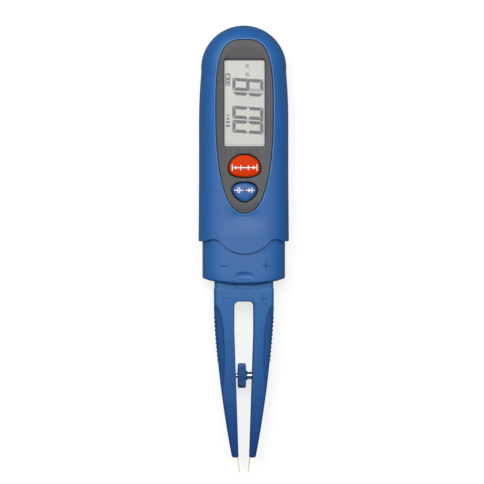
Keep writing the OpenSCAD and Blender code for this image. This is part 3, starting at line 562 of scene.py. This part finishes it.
def rearShell():
    centre = coverSeat["centre"]
    outer = even(caseOutline(), case["points"])
    inner = even(caseOutline(case["wall"]), case["points"])
    depth, power = case["backDepth"], case["backPower"]
    rings = [raised(drawnIn(outer, 0.993), case["seam"])]
    last = math.asin((case["seam"] / depth) ** (power / 2))
    for step in range(13):
        turn = last * (step / 12) ** 1.6
        rings.append(raised(drawnIn(outer, math.cos(turn) ** (2 / power)),
                            case["seam"] - max(case["seamStep"], depth * math.sin(turn) ** (2 / power))))
    flat = [(x, y) for x, y, z in rings[-1]]
    turns = angles(flat, centre)

    def circle(size):
        radius = coverSeat[size]
        return [(centre[0] + radius * math.cos(t), centre[1] + radius * math.sin(t)) for t in turns]

    for share in (0.3, 0.6, 0.85, 1.0):
        rings.append(raised(between(flat, circle("mouth"), share), 0))
    for size, height in (("bore", coverSeat["chamfer"]), ("bore", coverSeat["ledgeHigh"]),
                         ("ledge", coverSeat["ledgeHigh"]), ("ledge", case["backWall"])):
        rings.append(raised(circle(size), height))
    for share, height in ((0.724, case["backWall"]), (0.926, 3.4), (0.99, 5.5), (1.0, case["seam"])):
        rings.append(raised(drawnIn(inner, share), height))
    shell = loft("caseRear", rings + [rings[0]], ends=False)
    places = [(side * x, y) for side in (-1, 1) for x, y in screws["places"]]
    for x, y in places:
        boss = rod("boss", (x, y, screws["bossLow"]), (x, y, screws["bossTop"]), screws["boss"], 40)
        carve(shell, boss, "UNION")
    for x, y in places:
        carve(shell, rod("counterbore", (x, y, -1), (x, y, screws["headTop"]), screws["head"], 40))
        carve(shell, rod("hole", (x, y, 2), (x, y, 10), screws["hole"], 32))
    carve(shell, waveCutter())
    return shell


def lipBead():  # rounded rim that runs round the fascia; its paler blue is a painted highlight
    profile = ((0.74, -0.3), (0.72, 0.02), (0.62, 0.12), (0.45, 0.16), (0.28, 0.12), (0.17, 0.02),
               (0.15, -0.3))
    rings = [raised(even(fasciaEgg(grow), 400), dipped(rise)) for grow, rise in profile]
    return loft("lipBead", rings + [rings[0]], ends=False)


dress(lipBead(), "lipHighlightBlue", "case", (), 60)
dress(frontShell(), "caseBlue", "case", ["front_shell"], 28)
dress(rearShell(), "caseBlue", "case", ["rear_shell"], 28)


# socket sleeve
sleeve = dict(half=16.5, above=9.45, below=7.05, noseY=-12.0, noseLength=1.95, noseRound=1.1,
              topY=12.1, webHigh=2.0, webLow=-4.2, wall=1.4, mouthWidth=23.8, mouthHeight=11.2,
              mouthRound=1.4, axis=10.0, points=220, straightEnd=-8.4, socketX=7.9, socketBore=1.72,
              bossHole=2.75, markSize=4.0, markWidth=0.5, markDepth=0.32, scoopSize=(4.7, 2.1, 1.25),
              scoopY=-10.75, scoopZ=19.15)


def noseAt(x):
    return sleeve["noseY"] - sleeve["noseLength"] * (1 - (x / sleeve["half"]) ** 2)


def sleeveTop(x):
    power = case["power"]
    return case["seam"] + sleeve["above"] * (1 - abs(x / sleeve["half"]) ** power) ** (1 / power)


def groove(centre, length, width, depth, turn, face):  # cutter for a line pressed into a face
    rings = []
    c, s = math.cos(turn), math.sin(turn)
    for rise, trim in ((-depth, 0.6 * width), (0.6, -0.4 * width)):
        half, side = length / 2 - trim, max(0.04, width / 2 - trim * 0.75)
        flat = [(centre[0] + u * c - v * s, centre[1] + u * s + v * c)
                for u, v in ((-half, -side), (half, -side), (half, side), (-half, side))]
        rings.append(raised(flat, lambda x, y: face(x) + rise))
    return loft("groove", rings)


def marks(minusAt, plusAt, size, width, depth, face):  # cutters for a minus and a plus
    tilt = math.radians(2)
    return [groove(minusAt, size, width, depth, tilt, face), groove(plusAt, size, width, depth, -tilt, face),
            groove(plusAt, size, width, depth, math.pi / 2, face)]


def socketSleeve():
    count = sleeve["points"]
    outer = section(sleeve["half"], sleeve["above"], sleeve["below"], case["power"], count)
    inner = section(sleeve["half"] - sleeve["wall"], sleeve["above"] - sleeve["wall"],
                    sleeve["below"] - sleeve["wall"], case["power"], count)
    rings = [[(x, y, z) for x, z in inner] for y in (sleeve["webHigh"], sleeve["topY"])]
    rings += [[(x, y, z) for x, z in outer] for y in np.linspace(sleeve["topY"], sleeve["straightEnd"], 22)]
    middle = case["seam"]
    for turn in np.linspace(0, math.pi / 2, 8):
        inset = sleeve["noseRound"] * (1 - math.cos(turn))
        out = sleeve["noseRound"] * (1 - math.sin(turn))
        shareX, shareZ = 1 - inset / sleeve["half"], 1 - inset / sleeve["above"]
        rings.append([(x * shareX, noseAt(x) + out, middle + (z - middle) * shareZ) for x, z in outer])
    centre, rim = (0, sleeve["axis"]), [(x, z) for x, y, z in rings[-1]]
    mouth = roundRect(sleeve["mouthWidth"], sleeve["mouthHeight"], sleeve["mouthRound"], centre)
    mouth = facing(mouth, centre, angles(rim, centre))
    rings.append([(x, noseAt(x), z) for x, z in between(rim, mouth, 0.5)])
    rings += [[(x, noseAt(x), z) for x, z in mouth], [(x, sleeve["webLow"], z) for x, z in mouth]]
    piece = loft("socketSleeve", rings)
    for side in (-1, 1):
        socketX = sleeve["socketX"] * side
        bossX, bossY = screws["places"][1]
        carve(piece, rod("socketBore", (socketX, -6, sleeve["axis"]), (socketX, 4, sleeve["axis"]),
                         sleeve["socketBore"], 40))
        carve(piece, rod("bossHole", (bossX * side, bossY, 0), (bossX * side, bossY, 22),
                         sleeve["bossHole"], 40))
    for tool in marks((-8.24, -6.84), (8.68, -6.8), sleeve["markSize"], sleeve["markWidth"],
                      sleeve["markDepth"], sleeveTop):
        carve(piece, tool)
    letGo()
    bpy.ops.mesh.primitive_uv_sphere_add(segments=96, ring_count=64, radius=mm)
    scoop = bpy.context.object
    scoop.scale = sleeve["scoopSize"]
    scoop.location = (0, sleeve["scoopY"] * mm, sleeve["scoopZ"] * mm)
    bpy.ops.object.transform_apply(location=True, scale=True)
    carve(piece, scoop)
    return piece


dress(socketSleeve(), "sleeveBlue", "case", ["socket_sleeve"], 30)


# fascia, window and keys
def fasciaPanel():
    flat = even(fasciaEgg(), 300)
    fasciaMid, top = fascia["centre"], fascia["top"]

    def scaled(share):
        return [(x * share, fasciaMid[1] + (y - fasciaMid[1]) * share) for x, y in flat]

    rings = [raised(scaled(0.02), fascia["seat"]), raised(flat, fascia["seat"]), raised(flat, fascia["edge"])]
    for inset, drop in ((0.06, 0.22), (0.18, 0.08), (0.36, 0.0)):
        rings.append(raised(facing(fasciaEgg(-inset), fasciaMid, angles(flat, fasciaMid)), top - drop))
    for share in (0.9, 0.8, 0.68, 0.55, 0.4, 0.25, 0.1, 0.02):
        rings.append(raised(scaled(share), top - fascia["dish"] * (1 - share ** 2)))
    piece = loft("fasciaPanel", rings)
    wide, long = fascia["windowWidth"], fascia["windowLength"]
    low, windowY = fascia["windowLow"], fascia["windowY"]
    carve(piece, prism("lensSeat", roundRect(wide, long, fascia["windowCorner"], (0, windowY)), 15, low))
    opening = roundRect(wide - 0.3, long - 0.5, 0.8, (0, windowY))
    brim = roundRect(wide + 0.8, long + 0.8, 0.9, (0, windowY + 0.2))
    carve(piece, loft("windowSlope", [raised(opening, low - 0.2), raised(opening, low),
                                      raised(brim, fascia["brimTop"])]))
    keyHoles(piece, 15)
    soften(piece, 0.14, 2, 50)
    return piece


def displayLens():
    rings = []
    wide, long = fascia["windowWidth"] - 0.2, fascia["windowLength"] - 0.2
    for inset, height in ((0, fascia["seat"]), (0, 17.65), (0.06, 17.75), (0.16, 17.8)):
        rings.append(raised(roundRect(wide - 2 * inset, long - 2 * inset, fascia["windowCorner"] - inset,
                                      (0, fascia["windowY"])), height))
    return loft("displayLens", rings)


def keyCap(name, key):
    outline = keyEgg(key)
    middle = key["centre"]
    turns = angles(outline, middle)
    stem = [(middle[0] + keys["stem"] * math.cos(t), middle[1] + keys["stem"] * math.sin(t)) for t in turns]
    rings = [raised(stem, keys["low"]), raised(stem, keys["seat"]), raised(outline, keys["seat"]),
             raised(outline, keys["side"])]
    for share, height in ((0.992, 18.6), (0.97, 18.78), (0.93, 18.93), (0.86, 19.08), (0.76, 19.2),
                          (0.6, 19.3), (0.4, 19.365), (0.2, 19.39), (0.04, 19.4)):
        rings.append(raised([(middle[0] + (x - middle[0]) * share, middle[1] + (y - middle[1]) * share)
                             for x, y in outline], height))
    return loft(name, rings)


dress(fasciaPanel(), "fasciaGrey", "case", ["fascia_panel"], 30)
dress(displayLens(), "lens", "case", ["display_window"], 30)
dress(keyCap("rangeKey", keys["range"]), "keyRed", "range_key", ["range_button"], 50)
dress(keyCap("funcKey", keys["func"]), "keyBlue", "func_key", ["func_button"], 50)


# tweezers: inner and outer faces of an arm, as distances from the middle line
tweezer = dict(slotTop=-21.0, slotHalf=3.9, slotRound=1.8, straight=-33.0, armEnd=-83.4, mouthHalf=2.14,
               headHalf=11.85, taper=-24.0, endHalf=4.7, lean=0.427, headHigh=5.5, endHigh=2.3, axis=10.0,
               smileRadius=68.0, smileY=51.88, cornerRound=0.8, endRound=0.7, wheelY=-50.6)
grip = dict(top=-22.4, length=34.8, width=3.0, lap=0.3, ribTop=-26.6, ribPitch=1.7, ribs=11, ribHigh=0.3)
plug = dict(width=23.3, height=10.7, corner=1.2, ribWidth=6.6, ribHeight=1.4, ribZ=14.95, ribLow=-15.9,
            ribTop=-6.0)
bores = dict(insertSeat=(0, 7.4, 1.92), shankRoom=(5, 8.3, 1.5), guideRoom=(-8.2, 0, 1.3))


def armIn(y):
    share = max(0.0, (tweezer["straight"] - y) / (tweezer["straight"] - tweezer["armEnd"]))
    return tweezer["slotHalf"] - (tweezer["slotHalf"] - tweezer["mouthHalf"]) * share


def armOut(y):
    share = max(0.0, (tweezer["taper"] - y) / (tweezer["taper"] - tweezer["armEnd"]))
    drop = tweezer["headHalf"] - tweezer["endHalf"]
    return tweezer["headHalf"] - drop * (tweezer["lean"] * share + (1 - tweezer["lean"]) * share ** 2)


def armHigh(y):
    share = max(0.0, (tweezer["slotTop"] - y) / (tweezer["slotTop"] - tweezer["armEnd"]))
    return tweezer["headHigh"] - (tweezer["headHigh"] - tweezer["endHigh"]) * share


def gripWidth(y):
    share = min(1.0, max(0.0, (grip["top"] - y) / grip["length"]))
    return grip["width"] * max(0.0, math.sin(math.pi * share ** 0.65)) ** 0.65


# rounded section that runs from the inner to the outer face
def bandRing(inner, outer, high, innerRound, outerRound, crown=0.12, rib=0.0):
    start, end = Vector((*inner, tweezer["axis"])), Vector((*outer, tweezer["axis"]))
    wide = (end - start).length
    way = (end - start) / wide
    ri, ro = min(innerRound, wide * 0.45), min(outerRound, wide * 0.5)
    corners = ((wide - ro, high - ro, ro, 0), (ri, high - ri, ri, 90), (ri, ri - high, ri, 180),
               (wide - ro, ro - high, ro, 270))
    ring = []
    for number, (u, v, radius, first) in enumerate(corners):
        for step in range(6):
            turn = math.radians(first + 18 * step)
            reach = u + radius * math.cos(turn) + (rib if abs(math.cos(turn) - 1) < 0.01 else 0)
            ring.append((reach, v + radius * math.sin(turn)))
        if number in (0, 2):
            side = 1 if number == 0 else -1
            a, b = (wide - ro, ri) if number == 0 else (ri, wide - ro)
            for share in (0.25, 0.5, 0.75):
                ring.append((a + (b - a) * share, side * (high + crown * (1 - (2 * share - 1) ** 2))))
    return [tuple(start + way * u + Vector((0, 0, v))) for u, v in ring]


def armStations():  # sections from the tip up to the head, closer together where the pad starts and ends
    rings = []
    for turn in (90, 65, 40, 20):
        inset = tweezer["endRound"] * (1 - math.cos(math.radians(turn)))
        y = tweezer["armEnd"] + tweezer["endRound"] * (1 - math.sin(math.radians(turn)))
        rings.append(bandRing((armIn(y) + inset, y), (armOut(y) - inset, y), armHigh(y) - inset, 0.4, 0.9))
    gripEnd = grip["top"] - grip["length"]
    stations = np.concatenate([np.linspace(tweezer["armEnd"] + 0.7, gripEnd - 0.3, 26),
                               gripEnd + 3.2 * np.linspace(0, 1, 14) ** 1.8,
                               np.linspace(gripEnd + 4, -26, 32), -25.6 + 2.8 * np.linspace(0, 1, 14) ** 0.8])
    for y in stations:
        pad = gripWidth(y)
        soft = min(1.0, pad / 0.8)
        crown = 0.12 * min(1.0, max(0.0, (-23 - y) / 8))
        rings.append(bandRing((armIn(y), y), (armOut(y) - pad, y), armHigh(y), 0.5, 1.1 - 0.75 * soft, crown))
    return rings


def headStations():  # sections that fan out from the top of the slot to the edge of the head
    half, slotRound, corner = tweezer["headHalf"], tweezer["slotRound"], tweezer["cornerRound"]
    slotMid = (tweezer["slotHalf"] - slotRound, tweezer["slotTop"] - slotRound)
    inner = [(slotMid[0] + slotRound * math.cos(t), slotMid[1] + slotRound * math.sin(t))
             for t in np.linspace(0, math.pi / 2, 16)] + [(0, tweezer["slotTop"])]
    smile = [(x, tweezer["smileY"] - math.sqrt(tweezer["smileRadius"] ** 2 - x ** 2))
             for x in np.linspace(half - corner, 0, 20)]
    side = smile[0][1] - corner
    outer = [(half - gripWidth(y), y) for y in np.linspace(-22.8, -22.42, 6)]
    outer += [(half, -22.2), (half, side - 0.3)]
    outer += [(half - corner + corner * math.cos(t), side + corner * math.sin(t))
              for t in np.linspace(0, math.pi / 2 - 0.15, 7)] + smile
    count = 46
    insides, outsides = [], []
    for found, path in ((insides, inner), (outsides, outer)):
        line = np.array(path)
        run = np.concatenate([[0], np.cumsum(np.hypot(*np.diff(line, axis=0).T))])
        at = np.linspace(0, run[-1], count)
        found += list(zip(np.interp(at, run, line[:, 0]), np.interp(at, run, line[:, 1])))
    rings = []
    for step in range(1, count):
        share = step / (count - 1)
        fillet = 1.2 - 0.65 * min(1.0, max(0.0, (share - 0.33) / 0.1))
        fillet = 0.35 + (fillet - 0.35) * min(1.0, share / 0.06)
        high = armHigh((insides[step][1] + outsides[step][1]) / 2)
        rings.append(bandRing(insides[step], outsides[step], high, 0.5, fillet, 0.0))
    return rings


def mirrored(x, y, z):
    return (-x, y, z)


def wheelBore(name):  # cutter along the wheel's axis, from its start, end and radius
    start, end, radius = bores[name]
    wheelY, axis = tweezer["wheelY"], tweezer["axis"]
    return rod(name, (start, wheelY, axis), (end, wheelY, axis), radius, 40)


def limbsAndHead():
    right = loft("tweezerRight", armStations() + headStations())
    left = twin(right, "tweezerLeft", mirrored)
    carve(right, wheelBore("insertSeat"))
    carve(right, wheelBore("shankRoom"))
    carve(left, wheelBore("guideRoom"))
    face = tweezer["axis"] + tweezer["headHigh"]
    cutters = marks((-7.28, -19.68), (7.6, -19.72), 3.1, 0.42, 0.34, lambda x: face)
    for piece, tool in zip((left, right, right), cutters):
        carve(piece, tool)
    for piece, limb, side in ((left, "left_limb", -1), (right, "right_limb", 1)):
        nodes = ["tweezer_base", "right_arm"] if side > 0 else ["left_arm"]
        dress(piece, "headBlue", None, nodes, 32)
        0.0079 * side
        0.0079 * side
        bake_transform(piece)


def gripPads():
    rings = []
    low, ribTop = grip["top"] - grip["length"], grip["ribTop"]
    ribLow = ribTop - grip["ribs"] * grip["ribPitch"]
    stations = np.concatenate([low + 0.06 + 3.2 * np.linspace(0, 1, 12) ** 1.8,
                               np.arange(low + 3.6, ribLow, 0.6), np.arange(ribLow, ribTop, 0.17),
                               ribTop + (grip["top"] - 0.06 - ribTop) * np.linspace(0, 1, 16) ** 0.7])
    for y in stations:
        turn = 2 * math.pi * (ribTop - y) / grip["ribPitch"] - math.pi / 2
        ribbed = ribLow <= y <= ribTop
        rib = grip["ribHigh"] * max(0.0, math.sin(turn)) if ribbed else 0.0
        width = gripWidth(y) + grip["lap"] * min(1.0, gripWidth(y) / 0.6)
        inner = armOut(y) - max(0.3, width)
        rings.append(bandRing((inner, y), (armOut(y), y), armHigh(y), 0.75, 1.2, 0.1, rib))
    right = loft("gripRight", rings)
    left = twin(right, "gripLeft", mirrored)
    carve(right, wheelBore("shankRoom"))
    for piece, limb, side in ((left, "left", -1), (right, "right", 1)):
        dress(piece, "gripBlue", None, [limb + "_grip"], 32)
        limb + "_limb"
        0.0079 * side
        0.0079 * side
        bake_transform(piece)


def plugAndNeck():
    rings, wide, high = [], plug["width"], plug["height"]
    for inset, y in ((0.5, -4.4), (0.15, -4.55), (0, -4.9), (0, -10), (0, -16.3)):
        outline = roundRect(wide - 2 * inset, high - 2 * inset, plug["corner"], (0, tweezer["axis"]))
        rings.append([(x, y, z) for x, z in outline])
    piece = loft("plug", rings)
    rib = roundRect(plug["ribWidth"], plug["ribHeight"], 0.2, (0, plug["ribZ"]))
    carve(piece, across("keyRib", rib, plug["ribLow"], plug["ribTop"]), "UNION")
    return piece


limbsAndHead()
gripPads()
dress(plugAndNeck(), "headBlue", "head", (), 30)


# adjusting wheel and its screw
wheel = dict(left=-2.4, right=0.8, radius=4.95, face=3.9, ridges=48, ridgeHigh=0.3, rim=0.6, bore=1.46,
             points=288)
screw = dict(start=-0.45, threadFrom=3.2, end=6.2, radius=1.45, depth=0.19, pitch=0.5, points=48, step=0.0625,
             pin=((-7.0, 0.6), (-6.8, 0.85), (-0.4, 0.85)))


def axleRing(x, count, radiusAt):  # points round the wheel's axis
    ring = []
    for t in np.linspace(0, 2 * math.pi, count, endpoint=False):
        r = radiusAt(t)
        ring.append((x, tweezer["wheelY"] + r * math.cos(t), tweezer["axis"] + r * math.sin(t)))
    return ring


def ridgedWheel():
    left, right, rim, edge = wheel["left"], wheel["right"], wheel["rim"], wheel["radius"] - wheel["rim"]
    flat = [(wheel["bore"], 0), (wheel["face"], 0), (edge, 0)]
    curve = [(rim * (1 - math.cos(t)), edge + rim * math.sin(t), math.sin(t) ** 3)
             for t in (math.radians(degrees) for degrees in (20, 45, 70, 90))]
    profile = [(left, radius, ridge) for radius, ridge in flat]
    profile += [(left + inset, radius, ridge) for inset, radius, ridge in curve]
    profile += [(right - inset, radius, ridge) for inset, radius, ridge in reversed(curve)]
    profile += [(right, radius, ridge) for radius, ridge in reversed(flat)]
    rings = []
    for x, radius, ridge in profile + [profile[0]]:
        depth = wheel["ridgeHigh"] * ridge
        rings.append(axleRing(x, wheel["points"],
                              lambda t: radius - depth * (0.5 - 0.5 * math.cos(wheel["ridges"] * t)) ** 2))
    return loft("ridgedWheel", rings, ends=False)


def threadedScrew():
    rings = []
    for x in np.arange(screw["start"], screw["end"], screw["step"]):
        point = min(1.0, (screw["end"] - x) / 0.4)
        depth = 0 if x < screw["threadFrom"] else screw["depth"]

        def radiusAt(t):
            wave = 0.5 - 0.5 * math.cos(2 * math.pi * x / screw["pitch"] - t)
            return (screw["radius"] - depth * wave) * (0.8 + 0.2 * point)

        rings.append(axleRing(x, screw["points"], radiusAt))
    thread = loft("threadedScrew", rings)
    pin = [axleRing(x, screw["points"], lambda t: radius) for x, radius in screw["pin"]]
    return joinUp("threadedScrew", [thread, loft("guidePin", pin)])


dress(ridgedWheel(), "wheelBlue", "wheel", ["adjusting_wheel"], 30)
dress(threadedScrew(), "steel", "wheel", ["adjusting_screw"], 40)


# reading on the display: each digit is drawn lying down, its top toward -X
reading = dict(high=12.36, wide=5.08, stroke=1.3, gap=0.18, baseX=7.56, slant=0.067, low=16.91, top=16.95)
strokes = {"0": "abcdef", "1": "bc", "9": "abcdfg"}
digits = (("0", 48.66), ("0", 54.26), ("1", 59.86), ("9", 65.46))
# bars on the display: x, y, width and length of each
panel = dict(point=(6.9, 51.48, 1.2, 1.0), unitY=(69.8, 73.1), barX=-6.6, barLength=0.7,
             unit=((1.3, -0.45, 1.5, 0.32), (1.3, 0.45, 0.9, 0.32), (0.7, 0, 0.3, 0.8)),
             bars=((49.2, 1.8), (50.6, 1.4), (52.0, 1.0), (53.4, 0.6)), edgeLine=(0, 41.75, 15.7, 0.2),
             battery=((-7.45, 67.5, 0.3, 4.6), (-5.85, 67.5, 0.3, 4.6), (-6.65, 65.35, 1.9, 0.3),
                      (-6.65, 69.65, 1.9, 0.3), (-6.65, 70.0, 0.8, 0.4), (-6.65, 66.5, 1.0, 1.0),
                      (-6.65, 67.9, 1.0, 1.0)))


def segments():
    h, w, t, g = reading["high"], reading["wide"], reading["stroke"], reading["gap"]
    left = [(0, h - g), (t, h - g - t), (t, h / 2 + t / 2 + g), (0, h / 2 + g / 2)]
    top = [(g, h), (w - g, h), (w - g - t, h - t), (g + t, h - t)]
    middle = [(g, h / 2), (g + t / 2, h / 2 + t / 2), (w - g - t / 2, h / 2 + t / 2), (w - g, h / 2),
              (w - g - t / 2, h / 2 - t / 2), (g + t / 2, h / 2 - t / 2)]

    def flipped(shape, wide, high):
        return [(w - u if wide else u, h - v if high else v) for u, v in shape]

    return dict(a=top, f=left, b=flipped(left, True, False), e=flipped(left, False, True),
                c=flipped(left, True, True), d=flipped(top, False, True), g=middle)


def lying(shape, y):  # turns a drawn shape onto the display, its left end at a station
    return [(reading["baseX"] - v, y + u + reading["slant"] * (v - reading["high"] / 2)) for u, v in shape]


def ink(name, shapes, low, top):
    step = 0.003  # each shape stands a little above the one before, so that no two faces coincide
    return joinUp(name, [prism(name, shape, low, top + step * number) for number, shape in enumerate(shapes)])


def box(x, y, wide, long):
    return [(x - wide / 2, y - long / 2), (x + wide / 2, y - long / 2), (x + wide / 2, y + long / 2),
            (x - wide / 2, y + long / 2)]


def displayInk():
    drawn = segments()
    shapes = [lying(drawn[part], y - reading["wide"] / 2) for digit, y in digits for part in strokes[digit]]
    bars = [panel["point"]]
    bars += [(x, y + shift, wide, long) for y in panel["unitY"] for x, shift, wide, long in panel["unit"]]
    bars += [(panel["barX"], y, high, panel["barLength"]) for y, high in panel["bars"]]
    bars += panel["battery"]
    return ink("displayInk", shapes + [box(*bar) for bar in bars], reading["low"], reading["top"])


def displayGhost():  # the unlit stroke of the last digit, and the edge of the glass
    unlit = lying(segments()["e"], digits[-1][1] - reading["wide"] / 2)
    return ink("displayGhost", [unlit, box(*panel["edgeLine"])], reading["low"], reading["top"] - 0.01)


dress(displayInk(), "lcdInk", "case")
dress(displayGhost(), "lcdGhost", "case")


# signs on the keys: both ends of each stroke, then the arrowheads, with Y from the middle line of the sign
signs = dict(
    range=dict(y=32.45, width=0.42, low=19.25, top=19.43,
               strokes=((-4.9, -1.1, -4.9, 1.1), (4.9, -1.1, 4.9, 1.1), (-4.0, 0, 4.0, 0),
                        (-1.5, -0.8, -1.5, 0.8), (1.5, -0.8, 1.5, 0.8)),
               arrows=(((-3.3, -0.75), (-3.3, 0.75), (-4.6, 0)), ((4.6, 0), (3.3, 0.75), (3.3, -0.75)))),
    func=dict(y=23.44, width=0.38, low=19.2, top=19.42,
              strokes=((-4.0, 0, -2.7, 0), (-2.7, -0.95, -2.7, 0.95), (-2.0, -0.95, -2.0, 0.95),
                       (-2.0, 0, -0.7, 0), (0.6, 0, 1.5, 0), (2.9, 0, 3.8, 0), (2.85, -0.9, 2.85, 0.9)),
              arrows=(((1.5, -0.85), (2.75, 0), (1.5, 0.85)),)))


def stroke(start, end, width):
    a, b = Vector(start), Vector(end)
    side = (b - a).normalized() * (width / 2)
    turned = Vector((-side.y, side.x))
    return [tuple(p) for p in (a - side - turned, b + side - turned, b + side + turned, a - side + turned)]


def keySigns(name, sign):
    y = sign["y"]
    shapes = [stroke((startX, y + startY), (endX, y + endY), sign["width"])
              for startX, startY, endX, endY in sign["strokes"]]
    shapes += [[(x, y + rise) for x, rise in arrow] for arrow in sign["arrows"]]
    return ink(name, shapes, sign["low"], sign["top"])


dress(keySigns("rangeSigns", signs["range"]), "keyPrint", "range_key")
dress(keySigns("funcSigns", signs["func"]), "keyPrint", "func_key")


# finishes of the frame's own pieces
for node, finish in dict(
        lcd_glass="lcd", lcd_holder="holderWhite", zebra_strips="zebra", main_board="board",
        board_chips="chipBlack", range_plunger="switchBlack", func_plunger="switchBlack",
        switch_housings="switchBlack", coin_cell="cellSteel", cell_holder="holderBlack",
        cell_contact_top="gold", cell_contact_side="gold", battery_cover="caseBlue", case_screws="steel",
        buzzer="buzzerBlack",
        left_socket="gold", right_socket="gold", left_probe="gold", right_probe="gold", left_pin="gold",
        right_pin="gold", left_lead="leadBlack", right_lead="leadRed", threaded_insert="brass",
        thrust_washer="wheelBlue").items():
    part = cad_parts[node]
    part.data.materials.clear()
    part.data.materials.append(finishes[finish])
print("frame's own pieces finished")


# floor, world and lights
def whiteFloor():  # brighter to the camera than to the other rays
    finish = Finish("floor")
    seen = finish.node("ShaderNodeLightPath", {}, {}, "Is Camera Ray")
    bounce = finish.node("ShaderNodeBsdfDiffuse", {}, {0: (0.32, 0.32, 0.32, 1)})
    lit = finish.node("ShaderNodeBsdfDiffuse", {}, {0: (0.32, 0.32, 0.325, 1)})
    glow = finish.node("ShaderNodeEmission", {}, {0: (1, 1, 1, 1), 1: 0.75})
    both = finish.node("ShaderNodeAddShader", {}, (lit, glow))
    finish.finishWith(finish.node("ShaderNodeMixShader", {}, (seen, bounce, both)))
    letGo()
    bpy.ops.mesh.primitive_plane_add(size=6, location=(0, 0, -0.0003))
    floor = bpy.context.object
    floor.name = "floor"
    floor.data.materials.append(finish.material)


def paleWorld(strength):
    world = bpy.data.worlds.new("studio")
    bpy.context.scene.world = world
    world.use_nodes = True
    tree = world.node_tree
    tree.nodes.clear()
    path = tree.nodes.new("ShaderNodeLightPath")
    seen = tree.nodes.new("ShaderNodeMath")
    seen.operation = "MAXIMUM"
    tree.links.new(path.outputs["Is Camera Ray"], seen.inputs[0])
    tree.links.new(path.outputs["Is Transmission Ray"], seen.inputs[1])
    dim, full = (tree.nodes.new("ShaderNodeBackground") for _ in range(2))
    dim.inputs[1].default_value, full.inputs[1].default_value = strength, 1.0
    dim.inputs[0].default_value = full.inputs[0].default_value = (1, 1, 1, 1)
    mixer, out = tree.nodes.new("ShaderNodeMixShader"), tree.nodes.new("ShaderNodeOutputWorld")
    tree.links.new(seen.outputs[0], mixer.inputs[0])
    tree.links.new(dim.outputs[0], mixer.inputs[1])
    tree.links.new(full.outputs[0], mixer.inputs[2])
    tree.links.new(mixer.outputs[0], out.inputs["Surface"])


def softLight(name, place, size, power):
    letGo()
    bpy.ops.object.light_add(type="AREA", location=place)
    lamp = bpy.context.object
    lamp.name = name
    lamp.data.size = size
    lamp.data.energy = power
    lamp.visible_camera = False
    lamp.rotation_euler = (-Vector(place)).to_track_quat("-Z", "Y").to_euler()


whiteFloor()
paleWorld(0.16)
softLight("leftPanel", (-0.24, 0.26, 1.0), 0.42, 4.3)
softLight("rightPanel", (0.20, 0.28, 1.0), 0.42, 4.5)
softLight("keyLight", (-0.50, 0.6, 0.95), 0.4, 4.0)

view = bpy.context.scene.view_settings
view.view_transform = "Standard"
letGo()
